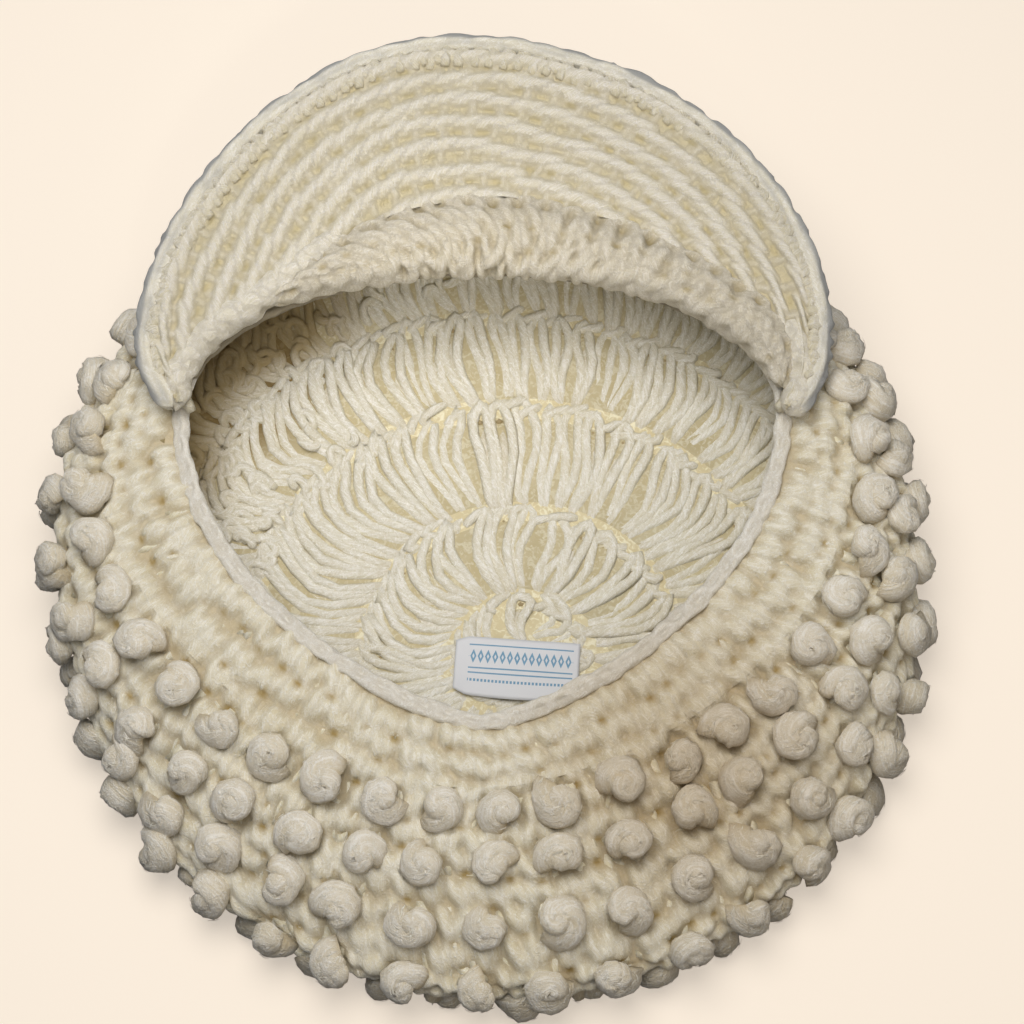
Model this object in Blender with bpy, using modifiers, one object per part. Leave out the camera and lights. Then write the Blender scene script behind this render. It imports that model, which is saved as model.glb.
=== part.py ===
"""Crocheted tam with curl bobbles and a soft peak, lying on its crown with the head opening up.

Run with: blender --background --python part.py
Units are metres, +Z is up, +Y is the front of the hat, where the peak is.
The origin is on the surface that the hat lies on, below the middle of the whole outline.

The bag of the tam is lofted through rounds of crochet. A round is an oval that may tip, and it is named by
its distance along the fabric from the head opening. The rounds run out over the underside, turn at the rim,
and run back in over the crown to its middle, which lies behind the middle of the outline, because the hat
is laid down a little askew.
"""

import math
from collections import namedtuple

import bmesh
import bpy
from mathutils import Matrix, Vector

MM = 0.001
GAP = 0.3 * MM                    # between pieces that touch

# The tables below measure from the middle of the rim. The whole outline has its middle here.
OUTLINE_MIDDLE = Vector((-0.4, 21.85, 0.0)) * MM

# The fabric
WALL = 5.0 * MM                   # thickness of one layer of crochet
BAND_WIDTH = 27.0 * MM            # plain rounds between the opening and the first bobbles
ROUND_COLUMNS = 38                # bobbles in each round of the underside
SEAM_COLUMNS = 64                 # faces round the seam of headband and crown

# A bobble: a curl of yarn that stands on the fabric
BOBBLE_CELL = 11.0 * MM           # along the fabric
BOBBLE_WAIST = 13.5 * MM
BOBBLE_TOP = 8.0 * MM
BOBBLE_WAIST_SHARE = 0.5          # of the bobble's height, where it is widest
BOBBLE_HEIGHT = 8.5 * MM

# The peak and what trims the openings
PEAK_MIDDLE = Vector((-1.0, 62.0, 0.0)) * MM
PEAK_THICK = 8.0 * MM             # two layers of crochet
PEAK_EDGE_THICK = 6.5 * MM
PEAK_EDGING_RADIUS = 3.4 * MM
LIP_EDGING_RADIUS = 2.7 * MM
LIP_SEAM = 1.8 * MM               # from the lip's edging to the headband, along the fabric
LIP_ROUNDING = 0.5 * MM           # on the headband's edge there
HEM_THICK = 13.0 * MM             # where it is puffed most
HEM_EDGE_SHARE = 0.75             # its thickness along the opening, as a share of that
HEM_END_SHARE = 0.45              # and at its two ends
HEM_CREST = 0.3                   # rise of its crest over the line between its edges, as a share too
HEM_OVERHANG = 4.0 * MM           # how far the hem hangs over the opening
HEM_FULL_WIDTH = 12.0 * MM        # from this width on, the hem is at its full thickness
HEM_ENDS = (-2.0, 157.0)          # degrees round the peak's middle
PEAK_SECTIONS = 32
PEAK_EDGING_KNOTS = 48
HEM_SECTIONS = 26

# The label
LABEL_SIZE = (40.5 * MM, 20.5 * MM, 0.8 * MM)
LABEL_PLACE = (9.7 * MM, -26.6 * MM)
LABEL_TURN = math.radians(-4.0)
LABEL_BOW = 1.2 * MM              # rise of its middle

# Rounds of the bag, outer face of the fabric, in millimetres. along: from the head opening, along the
# fabric. middle_x, middle_y, half_x, half_front, half_back: the oval seen from above, which is widest on
# the line through its middle. roundness: 1 where the back is elliptical, less where it narrows to a V.
# The last four: its height at the front, back, left and right.
Round = namedtuple("Round", "along middle_x middle_y half_x half_front half_back roundness "
                            "front back left right")
ROUNDS = [
    Round(0.0, -1.5, 54.0, 95.5, 44.5, 103.0, 0.68, 50.0, 38.0, 44.0, 44.0),
    Round(18.0, -1.5, 44.0, 112.0, 69.5, 108.5, 0.78, 47.0, 36.0, 42.0, 42.0),
    Round(36.0, -2.5, 31.0, 126.5, 93.0, 109.5, 0.88, 40.5, 33.0, 36.5, 37.5),
    Round(53.0, -3.0, 24.0, 136.0, 114.0, 119.0, 0.94, 31.0, 29.5, 28.5, 31.5),
    Round(71.0, -0.5, 14.0, 139.5, 131.0, 126.5, 0.97, 19.5, 24.0, 18.0, 23.0),
    Round(89.0, 2.5, 0.0, 137.0, 137.0, 130.0, 1.0, 10.0, 16.5, 10.0, 14.5),
    Round(107.0, 5.5, -10.0, 128.5, 126.0, 120.0, 1.0, 6.0, 7.5, 6.0, 7.5),
    Round(130.0, 8.0, -13.0, 108.0, 102.0, 98.0, 1.0, 6.0, 6.0, 6.0, 6.0),
    Round(158.0, 10.0, -16.0, 79.0, 72.0, 72.0, 1.0, 6.0, 6.0, 6.0, 6.0),
    Round(186.0, 11.0, -19.0, 49.0, 45.5, 45.5, 1.0, 6.0, 6.0, 6.0, 6.0),
    Round(214.0, 11.0, -21.0, 21.0, 20.0, 20.0, 1.0, 6.0, 6.0, 6.0, 6.0),
    Round(230.0, 11.0, -21.5, 6.0, 5.5, 5.5, 1.0, 6.0, 6.0, 6.0, 6.0),
]

# Rounds of bobbles. turn: how far the round's first bobble lies past the middle of the back, in columns.
BobbleRound = namedtuple("BobbleRound", "along count turn")
BOBBLE_ROUNDS = [
    BobbleRound(36.0, ROUND_COLUMNS, 0.42),
    BobbleRound(53.0, ROUND_COLUMNS, 0.30),
    BobbleRound(71.0, ROUND_COLUMNS, 0.03),
    BobbleRound(89.0, ROUND_COLUMNS, -0.22),
    BobbleRound(108.0, 36, 0.2),
    BobbleRound(130.0, 29, 0.5),
    BobbleRound(158.0, 21, 0.0),
    BobbleRound(186.0, 13, 0.5),
    BobbleRound(214.0, 6, 0.0),
]

# The peak, seen from above. angle: degrees round the peak's middle, 90 at the front. reach: from there to
# the middle of the edging. hem: width of the turned hem. lift: rise of the outer edge over the opening's.
PeakSection = namedtuple("PeakSection", "angle reach hem lift")
PEAK = [
    PeakSection(-8.0, 101.0, 0.0, 2.5),
    PeakSection(0.0, 108.0, 6.0, 3.0),
    PeakSection(14.0, 112.0, 14.0, 3.5),
    PeakSection(35.0, 113.0, 19.0, 4.5),
    PeakSection(55.0, 113.0, 21.0, 5.5),
    PeakSection(75.0, 113.0, 22.0, 6.5),
    PeakSection(90.0, 115.0, 22.0, 7.0),
    PeakSection(108.0, 116.5, 20.5, 6.5),
    PeakSection(125.0, 114.5, 18.0, 5.5),
    PeakSection(145.0, 111.5, 10.0, 4.5),
    PeakSection(165.0, 111.0, 0.0, 3.5),
    PeakSection(178.0, 109.0, 0.0, 3.0),
    PeakSection(187.0, 101.0, 0.0, 2.5),
]

LINING_ROUNDS = [(205.0, 12), (160.0, 20), (122.0, 32), (104.0, 38), (88.0, 38), (74.0, 38), (60.0, 38),
                 (44.0, 38)]      # the inner face of the crown: along in mm, columns

COLOURS = {                       # linear colour, roughness
    "crown": ((0.80, 0.74, 0.58), 0.90),
    "headband": ((0.78, 0.72, 0.57), 0.90),
    "opening_edging": ((0.74, 0.70, 0.58), 0.90),
    "peak": ((0.80, 0.75, 0.60), 0.90),
    "peak_hem": ((0.79, 0.74, 0.60), 0.90),
    "peak_edging": ((0.72, 0.69, 0.60), 0.90),
    "label": ((0.84, 0.85, 0.88), 0.55),
}


# ---------------------------------------------------------------- curves through the tables

def read_row(rows, key, place):
    """The row at place, between the rows of a table, on a smooth curve through each of its columns."""
    places = [getattr(row, key) for row in rows]
    last = len(rows) - 2
    step = 0
    while step < last and place > places[step + 1]:
        step += 1
    span = places[step + 1] - places[step]
    share = (place - places[step]) / span
    square, cube = share * share, share * share * share

    def slope(column, at):
        low, high = max(at - 1, 0), min(at + 1, len(rows) - 1)
        return (rows[high][column] - rows[low][column]) / (places[high] - places[low])

    values = []
    for column in range(len(rows[0])):
        start, end = rows[step][column], rows[step + 1][column]
        leave, arrive = slope(column, step) * span, slope(column, step + 1) * span
        values.append((2 * cube - 3 * square + 1) * start + (cube - 2 * square + share) * leave
                      + (3 * square - 2 * cube) * end + (cube - square) * arrive)
    return type(rows[0])(*values)


def spread(low, high, count):
    """count places from low to high, closer together near both ends."""
    shares = [0.5 - 0.5 * math.cos(math.pi * step / (count - 1)) for step in range(count)]
    return [low + (high - low) * share for share in shares]


# ---------------------------------------------------------------- the bag's surface

LAP_STEPS = 180
BACK = -math.pi / 2


def on_round(ring, angle):
    """A point of one round, at an angle of its oval."""
    across, onward = math.cos(angle), math.sin(angle)
    if onward < 0:
        width = math.copysign(abs(across) ** (1 / ring.roundness), across)
        reach = ring.half_back
    else:
        width, reach = across, ring.half_front
    mean = (ring.front + ring.back + ring.left + ring.right) / 4
    sag = (ring.right + ring.left - ring.front - ring.back) / 4
    height = (mean + (ring.right - ring.left) / 2 * across
              + (ring.front - ring.back) / 2 * onward + sag * math.cos(2 * angle))
    place = Vector((ring.middle_x + ring.half_x * width, ring.middle_y + reach * onward, height))
    return place * MM - OUTLINE_MIDDLE


def lap_angles(ring, count, turn):
    """The angles of count points, evenly spaced by length round a lap that starts at the back."""
    angles = [BACK + math.tau * step / LAP_STEPS for step in range(LAP_STEPS + 1)]
    points = [on_round(ring, angle) for angle in angles]
    lengths = [0.0]
    for here, there in zip(points, points[1:]):
        lengths.append(lengths[-1] + (there - here).length)
    found, step = [], 0
    for index in range(count):
        laps, wanted = divmod(lengths[-1] * (index + turn) / count, lengths[-1])
        while lengths[step + 1] < wanted:
            step += 1
        while lengths[step] > wanted:
            step -= 1
        share = (wanted - lengths[step]) / (lengths[step + 1] - lengths[step])
        found.append(angles[step] + share * (angles[step + 1] - angles[step]) + laps * math.tau)
    return found


def fabric_frame(along, angle):
    """Point on the fabric's outer face, and the direction that faces out of it."""
    near, turn = 0.5, 0.02                              # mm along the fabric, radians round it
    ring = read_row(ROUNDS, "along", along)
    round_way = on_round(ring, angle + turn) - on_round(ring, angle - turn)
    on = on_round(read_row(ROUNDS, "along", along + near), angle)
    off = on_round(read_row(ROUNDS, "along", along - near), angle)
    return on_round(ring, angle), (on - off).cross(round_way).normalized()


def fabric_points(along, count, turn=0.0, depth=0.0):
    """One lap of points on the fabric, at a depth below its outer face."""
    ring = read_row(ROUNDS, "along", along)
    points = []
    for angle in lap_angles(ring, count, turn):
        point, outward = fabric_frame(along, angle)
        points.append(point - outward * depth)
    return points


# ---------------------------------------------------------------- building blocks

def new_collection(name):
    collection = bpy.data.collections.new(name)
    bpy.context.scene.collection.children.link(collection)
    return collection


def add_object(name, data, collection):
    """A named object with its own material."""
    colour, roughness = COLOURS[name]
    material = bpy.data.materials.new(name)
    material.use_nodes = True
    shader = material.node_tree.nodes["Principled BSDF"]
    shader.inputs["Base Color"].default_value = (*colour, 1.0)
    shader.inputs["Roughness"].default_value = roughness
    shader.inputs["Metallic"].default_value = 0.0
    data.materials.append(material)
    thing = bpy.data.objects.new(name, data)
    collection.objects.link(thing)
    return thing


def add_lap(mesh, count, level):
    """A flat circle of edges. Laps are bridged as a plain stack of circles, before they are laid out."""
    return bmesh.ops.create_circle(mesh, segments=count, radius=1.0,
                                   matrix=Matrix.Translation((0.0, 0.0, level)))["verts"]


def lap_edges(lap):
    members = set(lap)
    return [edge for edge in {edge for vertex in lap for edge in vertex.link_edges}
            if members.issuperset(edge.verts)]


def bridge(mesh, lap, other):
    """The faces between two laps. Unlike laps get triangles, which step round both from the first points."""
    if len(lap) == len(other):
        return bmesh.ops.bridge_loops(mesh, edges=lap_edges(lap) + lap_edges(other))["faces"]
    here, there, faces = 0, 0, []
    while here < len(lap) or there < len(other):
        corners = [lap[here % len(lap)], other[there % len(other)]]
        behind = (here + 0.5) * len(other) <= (there + 0.5) * len(lap)
        if there == len(other) or (here < len(lap) and behind):
            here += 1
            corners.append(lap[here % len(lap)])
        else:
            there += 1
            corners.append(other[there % len(other)])
        faces.append(mesh.faces.new(corners))
    return faces


def close_lap(mesh, lap):
    bmesh.ops.contextual_create(mesh, geom=lap_edges(lap))


def loft(mesh, sections, ring=False):
    """Bridges sections, each a list of points. Gives the laps of vertices and the faces between them."""
    laps = [add_lap(mesh, len(points), level) for level, points in enumerate(sections)]
    bands = [bridge(mesh, lap, other) for lap, other in zip(laps, laps[1:])]
    if ring:
        bands.append(bridge(mesh, laps[-1], laps[0]))
    for lap, points in zip(laps, sections):
        for vertex, point in zip(lap, points):
            vertex.co = point
    return laps, bands


def finish(mesh, name, collection):
    """Turns the faces outwards and makes the object."""
    bmesh.ops.recalc_face_normals(mesh, faces=mesh.faces)
    data = bpy.data.meshes.new(name)
    mesh.to_mesh(data)
    mesh.free()
    data.shade_smooth()
    data.set_sharp_from_angle(angle=math.radians(40))
    return add_object(name, data, collection)


# ---------------------------------------------------------------- crown, headband and the lip's edging

def raise_bobble(mesh, cell, outward):
    """Raises a cell of the fabric into a bobble, widest at its waist and closed by a small top."""
    middle = cell.calc_center_median()
    for share, width in ((BOBBLE_WAIST_SHARE, BOBBLE_WAIST), (1.0, BOBBLE_TOP)):
        cell = bmesh.ops.extrude_discrete_faces(mesh, faces=[cell])["faces"][0]
        centre = cell.calc_center_median()
        corner = max((vertex.co - centre).length for vertex in cell.verts)
        lift = middle + outward * BOBBLE_HEIGHT * share
        for vertex in cell.verts:
            vertex.co = lift + (vertex.co - centre) / corner * width * math.sqrt(0.5)
            vertex.co.z = max(vertex.co.z, 0.0)


def add_crown(collection):
    """The bag of the tam, from the first bobbles out round the rim and in to the middle of the crown."""
    mesh = bmesh.new()
    start = (BAND_WIDTH + 2 * GAP) / MM
    half_cell = BOBBLE_CELL / MM / 2
    sections = [fabric_points(along, count, depth=WALL) for along, count in LINING_ROUNDS]
    sections += [fabric_points(start, SEAM_COLUMNS, depth=depth) for depth in (WALL, 0.0)]
    for row in BOBBLE_ROUNDS:
        for along in (row.along - half_cell, row.along + half_cell):
            sections.append(fabric_points(along, 2 * row.count, 2 * row.turn - 0.5))
    laps, bands = loft(mesh, sections)
    close_lap(mesh, laps[0])
    close_lap(mesh, laps[-1])

    first_band = len(LINING_ROUNDS) + 2
    bobbles = []
    for index, row in enumerate(BOBBLE_ROUNDS):
        band = bands[first_band + 2 * index]
        for angle in lap_angles(read_row(ROUNDS, "along", row.along), row.count, row.turn):
            point, outward = fabric_frame(row.along, angle)
            cell = min(band, key=lambda face: (face.calc_center_median() - point).length)
            bobbles.append((cell, outward))
    for cell, outward in bobbles:
        raise_bobble(mesh, cell, outward)
    return finish(mesh, "crown", collection)


def add_headband(collection):
    """The plain rounds that go round the head, up to the edging of the lip."""
    mesh = bmesh.new()
    first = (2 * LIP_EDGING_RADIUS + LIP_SEAM) / MM
    face_start, face_end = first + LIP_ROUNDING / MM, BAND_WIDTH / MM
    across = [face_start, (face_start + face_end) / 2, face_end]
    face = [fabric_points(along, SEAM_COLUMNS) for along in across]
    back = [fabric_points(along, SEAM_COLUMNS, depth=WALL) for along in reversed(across)]
    edge = [fabric_points(first, SEAM_COLUMNS, depth=share * WALL) for share in (0.75, 0.25)]
    loft(mesh, face + back + edge, ring=True)
    return finish(mesh, "headband", collection)


def add_tube(name, points, radius, cyclic, collection):
    curve = bpy.data.curves.new(name, "CURVE")
    curve.dimensions = "3D"
    curve.bevel_depth = radius
    curve.bevel_resolution = 2
    curve.use_fill_caps = not cyclic
    line = curve.splines.new("POLY")
    line.points.add(len(points) - 1)
    for knot, point in zip(line.points, points):
        knot.co = (*point, 1.0)
    line.use_cyclic_u = cyclic
    return add_object(name, curve, collection)


def add_opening_edging(collection):
    """The chain of slip stitches that runs round the lip."""
    points = fabric_points(LIP_EDGING_RADIUS / MM, SEAM_COLUMNS, depth=WALL / 2)
    return add_tube("opening_edging", points, LIP_EDGING_RADIUS, True, collection)


# ---------------------------------------------------------------- peak, hem and edging

def heading_at(angle):
    return Vector((math.cos(math.radians(angle)), math.sin(math.radians(angle)), 0.0))


def lip_at(angle):
    """The point of the opening's lip in a direction from the peak's middle, in degrees."""
    middle = PEAK_MIDDLE - OUTLINE_MIDDLE
    heading = heading_at(angle)
    points = [on_round(ROUNDS[0], math.tau * step / LAP_STEPS) for step in range(LAP_STEPS)]
    for here, there in zip(points, points[1:] + points[:1]):
        left, right = here - middle, there - middle
        turn = left.to_2d().cross(heading.to_2d()), right.to_2d().cross(heading.to_2d())
        if turn[0] >= 0 > turn[1] and left.dot(heading) > 0:
            return here.lerp(there, turn[0] / (turn[0] - turn[1]))
    raise ValueError(f"no lip at {angle}")


def edging_at(angle):
    """The middle of the peak's edging, and the level direction from it to the fabric of the peak."""
    near = 0.5                                          # degrees

    def place(at):
        section = read_row(PEAK, "angle", at)
        spot = PEAK_MIDDLE - OUTLINE_MIDDLE + heading_at(at) * section.reach * MM
        spot.z = lip_at(at).z + GAP + section.lift * MM + PEAK_EDGE_THICK / 2
        return spot
    run = place(angle + near) - place(angle - near)
    return place(angle), Vector((-run.y, run.x, 0.0)).normalized()


PROFILE = [(0.0, 0.30), (0.0, 0.70), (0.12, 1.0), (0.5, 1.0), (0.88, 1.0),
           (1.0, 0.70), (1.0, 0.30), (0.88, 0.0), (0.5, 0.0), (0.12, 0.0)]


def flat_section(near, far, thick_near, thick_far, crest=0.0):
    """A section with round ends, from near to far, two points of its underside."""
    points = []
    for out, up in PROFILE:
        thick = thick_near + (thick_far - thick_near) * out
        rise = (thick + crest * math.sin(math.pi * out)) * up
        points.append(near.lerp(far, out) + Vector((0.0, 0.0, rise)))
    return points


def add_sections(name, sections, collection):
    mesh = bmesh.new()
    laps, _ = loft(mesh, sections)
    close_lap(mesh, laps[0])
    close_lap(mesh, laps[-1])
    return finish(mesh, name, collection)


def add_peak(collection):
    """The crescent of the peak, two layers of crochet, from the hem out to its edging."""
    sections = []
    for angle in spread(PEAK[0].angle, PEAK[-1].angle, PEAK_SECTIONS):
        section = read_row(PEAK, "angle", angle)
        seat = Vector((0.0, 0.0, GAP))
        near = lip_at(angle) + heading_at(angle) * (max(section.hem, 0.0) * MM + 1.3 * GAP) + seat
        middle, inward = edging_at(angle)
        far = middle + inward * (PEAK_EDGING_RADIUS + 2 * GAP) - Vector((0.0, 0.0, PEAK_EDGE_THICK / 2))
        sections.append(flat_section(near, far, PEAK_THICK, PEAK_EDGE_THICK))
    return add_sections("peak", sections, collection)


def add_hem(collection):
    """The hem that is turned in along the front of the opening and hangs a little over it."""
    sections = []
    for angle in spread(*HEM_ENDS, HEM_SECTIONS):
        width = max(read_row(PEAK, "angle", angle).hem, 1.0) * MM
        share = min(width / HEM_FULL_WIDTH, 1.0)
        thick = HEM_THICK * (HEM_END_SHARE + (1.0 - HEM_END_SHARE) * share)
        seat = lip_at(angle) + Vector((0.0, 0.0, GAP))
        near = seat - heading_at(angle) * HEM_OVERHANG * share
        far = seat + heading_at(angle) * (width - GAP)
        sections.append(flat_section(near, far, thick * HEM_EDGE_SHARE, PEAK_THICK, crest=thick * HEM_CREST))
    return add_sections("peak_hem", sections, collection)


def add_peak_edging(collection):
    """The thick chain that binds the outer edge of the peak."""
    angles = spread(PEAK[0].angle, PEAK[-1].angle, PEAK_EDGING_KNOTS)
    points = [edging_at(angle)[0] for angle in angles]
    return add_tube("peak_edging", points, PEAK_EDGING_RADIUS, False, collection)


# ---------------------------------------------------------------- label

def add_label(collection):
    """A plain satin label sewn inside the crown, a little bowed."""
    length, width, thick = LABEL_SIZE
    mesh = bmesh.new()
    grid = bmesh.ops.create_grid(mesh, x_segments=8, y_segments=2, size=0.5)["verts"]
    for vertex in grid:
        across = vertex.co.x
        vertex.co = Vector((across * length, vertex.co.y * width, LABEL_BOW * math.cos(math.pi * across)))
    data = bpy.data.meshes.new("label")
    mesh.to_mesh(data)
    mesh.free()
    label = add_object("label", data, collection)
    floor = ROUNDS[-1].front * MM + WALL
    label.location = Vector((*LABEL_PLACE, floor + GAP)) - OUTLINE_MIDDLE
    label.rotation_euler = (0.0, 0.0, LABEL_TURN)
    shell = label.modifiers.new("thickness", "SOLIDIFY")
    shell.thickness = thick
    shell.offset = 1.0
    return label


def main():
    for old in list(bpy.data.objects):
        bpy.data.objects.remove(old)
    collection = new_collection("tam_o_shanter")
    add_crown(collection)
    add_headband(collection)
    add_opening_edging(collection)
    add_peak(collection)
    add_hem(collection)
    add_peak_edging(collection)
    add_label(collection)


main()
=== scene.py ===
# %% [markdown]
# # A crocheted tam with curl bobbles and a soft peak
# The hat lies on its crown, with the head opening up. It is worked by hand in thick cream acrylic yarn. The
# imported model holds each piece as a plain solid. This script dresses those solids: it works the yarn over
# them stitch by stitch, gives the yarn its fibres and colour, and lights the hat for a picture.

import math
from collections import namedtuple

import bmesh
import bpy
import numpy as np
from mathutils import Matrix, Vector


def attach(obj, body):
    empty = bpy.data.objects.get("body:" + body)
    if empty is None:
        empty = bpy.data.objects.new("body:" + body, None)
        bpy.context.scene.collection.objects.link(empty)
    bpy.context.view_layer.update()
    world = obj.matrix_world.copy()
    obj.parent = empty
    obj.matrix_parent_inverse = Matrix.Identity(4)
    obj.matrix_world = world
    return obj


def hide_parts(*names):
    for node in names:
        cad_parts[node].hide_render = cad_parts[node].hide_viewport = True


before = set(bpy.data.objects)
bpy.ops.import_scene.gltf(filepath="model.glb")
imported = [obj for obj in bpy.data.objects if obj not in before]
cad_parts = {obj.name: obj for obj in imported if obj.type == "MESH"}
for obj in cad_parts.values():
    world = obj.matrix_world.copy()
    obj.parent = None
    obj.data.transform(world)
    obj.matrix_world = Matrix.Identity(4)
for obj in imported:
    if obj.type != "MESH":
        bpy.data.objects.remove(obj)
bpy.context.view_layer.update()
MM = 0.001
TAU = math.tau
print("pieces of the packed model:", ", ".join(sorted(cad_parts)))

# %% [markdown]
# ## Camera
# The photograph looks down on the hat from the back, steeply. A camera is placed by what it looks at, its
# height above the horizon and its distance, and its lens follows from how large the hat is in the picture.

# %% Camera
LOOK_AT = Vector((8.6, 0.0, 28.0)) * MM
CAMERA_ELEVATION = math.radians(70.0)
CAMERA_DISTANCE = 0.75
SENSOR_MM = 36.0
PICTURE_PIXELS = 1024
FOCAL_PIXELS = 2300.0


def add_object(name, data):
    thing = bpy.data.objects.new(name, data)
    bpy.context.scene.collection.objects.link(thing)
    return thing


def add_camera():
    """A camera behind the hat that looks along +Y and down."""
    data = bpy.data.cameras.new("camera")
    data.sensor_width = SENSOR_MM
    data.lens = FOCAL_PIXELS / PICTURE_PIXELS * SENSOR_MM
    data.clip_start = 0.01
    camera = add_object("camera", data)
    forward = Vector((0.0, math.cos(CAMERA_ELEVATION), -math.sin(CAMERA_ELEVATION)))
    camera.location = LOOK_AT - forward * CAMERA_DISTANCE
    camera.rotation_euler = forward.to_track_quat("-Z", "Y").to_euler()
    bpy.context.scene.camera = camera
    return camera


print("camera at", tuple(round(value, 3) for value in add_camera().location))

# %% [markdown]
# ## Floor and light
# A plain pale floor and a wide soft light from above, as in the photograph. The floor doesn't send its
# light back on to the hat, so the sides of the bobbles that face down stay cool and grey. A narrow spot
# reaches under the hem, a warm fill comes from the lower right, and the sky is a dim cool grey.

# %% Floor
FLOOR_COLOUR = (0.56, 0.50, 0.43)
FLOOR_GLOW = 0.89                                   # keeps the floor even, as a lit backdrop does
FLOOR_SIZE = 6.0


def wire(node, inputs):
    """Sets a node's inputs, each to a number, a vector, a colour or the socket that feeds it."""
    for label, value in inputs.items():
        socket = node.inputs[label]
        if isinstance(value, bpy.types.NodeSocket):
            node.id_data.links.new(value, socket)
        else:
            socket.default_value = (*value, 1.0) if socket.type == "RGBA" else value


def new_node(tree, kind, inputs=None, **settings):
    """A node with its settings made and its inputs wired."""
    node = tree.nodes.new(kind)
    for name, value in settings.items():
        setattr(node, name, value)
    wire(node, inputs or {})
    return node


def new_material(name):
    """A material, its tree and its shader."""
    material = bpy.data.materials.new(name)
    material.use_nodes = True
    return material, material.node_tree, material.node_tree.nodes["Principled BSDF"]


def mesh_object(name, mesh, smooth=True):
    """An object of a bmesh, which is freed."""
    data = bpy.data.meshes.new(name)
    mesh.to_mesh(data)
    mesh.free()
    if smooth:
        data.shade_smooth()
    return add_object(name, data)


def add_floor():
    mesh = bmesh.new()
    bmesh.ops.create_grid(mesh, x_segments=1, y_segments=1, size=FLOOR_SIZE / 2)
    floor = mesh_object("floor", mesh, smooth=False)
    material, _, shader = new_material("floor")
    wire(shader, {"Base Color": FLOOR_COLOUR, "Roughness": 0.9, "Specular IOR Level": 0.0,
                  "Emission Color": FLOOR_COLOUR, "Emission Strength": FLOOR_GLOW})
    floor.data.materials.append(material)
    floor.visible_diffuse = False


add_floor()
print("floor", FLOOR_SIZE, "m wide")

# %% Lights
# name, place, what it is aimed at, watts, size, width of its beam in radians, colour
LIGHTS = [
    ("key", (-0.07, 0.100, 0.70), LOOK_AT, 3.9, 0.62, None, (1.0, 0.97, 0.92)),
    ("spot", (0.03, -0.34, 0.46), (-0.018, 0.080, 0.028), 4.6, 0.06, 0.32, (1.0, 0.97, 0.90)),
    ("fill", (0.55, -0.55, 0.50), LOOK_AT, 0.8, 0.5, None, (1.0, 0.82, 0.60)),
]
SKY_COLOUR = (0.92, 0.95, 1.0)
SKY_ABOVE, SKY_BELOW = 0.28, 0.05                   # brightness of the sky overhead and at the floor


def add_light(name, place, aim, watts, size, beam, colour):
    """A round area light, or a spot with a soft rim if a beam is given."""
    data = bpy.data.lights.new(name, "SPOT" if beam else "AREA")
    data.energy, data.color = watts, colour
    if beam:
        data.shadow_soft_size, data.spot_size, data.spot_blend = size, beam, 1.0
    else:
        data.shape, data.size = "DISK", size
    light = add_object(name, data)
    light.location = place
    light.rotation_euler = (Vector(aim) - Vector(place)).to_track_quat("-Z", "Y").to_euler()


def add_sky():
    """Bright overhead and dim at the sides, as under a lamp in a room."""
    world = bpy.data.worlds.new("sky")
    world.use_nodes = True
    tree = world.node_tree
    direction = new_node(tree, "ShaderNodeTexCoord").outputs["Generated"]
    upward = new_node(tree, "ShaderNodeSeparateXYZ", {0: direction}).outputs["Z"]
    brightness = new_node(tree, "ShaderNodeMapRange", {"Value": upward, "From Min": 0.0, "From Max": 0.9,
                                                       "To Min": SKY_BELOW, "To Max": SKY_ABOVE})
    wire(tree.nodes["Background"], {"Color": SKY_COLOUR, "Strength": brightness.outputs["Result"]})
    bpy.context.scene.world = world


for light_row in LIGHTS:
    add_light(*light_row)
add_sky()
bpy.context.scene.view_settings.view_transform = "Standard"
print(len(LIGHTS), "lights and a sky")

# %% [markdown]
# ## The shape of the bag
# The bag of the tam is described by its rounds, as a crocheter would: each round is an oval, named by its
# distance along the fabric from the head opening. The rounds run out over the underside, turn at the rim
# and run back in over the crown. These are the same sizes as the solids', so that what is worked over them
# fits. The table is read at thousands of places, so it is an array, and a smooth curve runs through each
# column.

# %% Rounds of the bag, in millimetres from the middle of the rim
OUTLINE_MIDDLE = np.array([-0.4, 21.85, 0.0])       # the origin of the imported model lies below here
WALL = 5.0                                          # thickness of the fabric
BAND_WIDTH = 27.0
SEAM_GAP = 0.6                                      # between the solids of headband and crown
BAG_END = 232.0                                     # the middle of the crown, nearly

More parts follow.
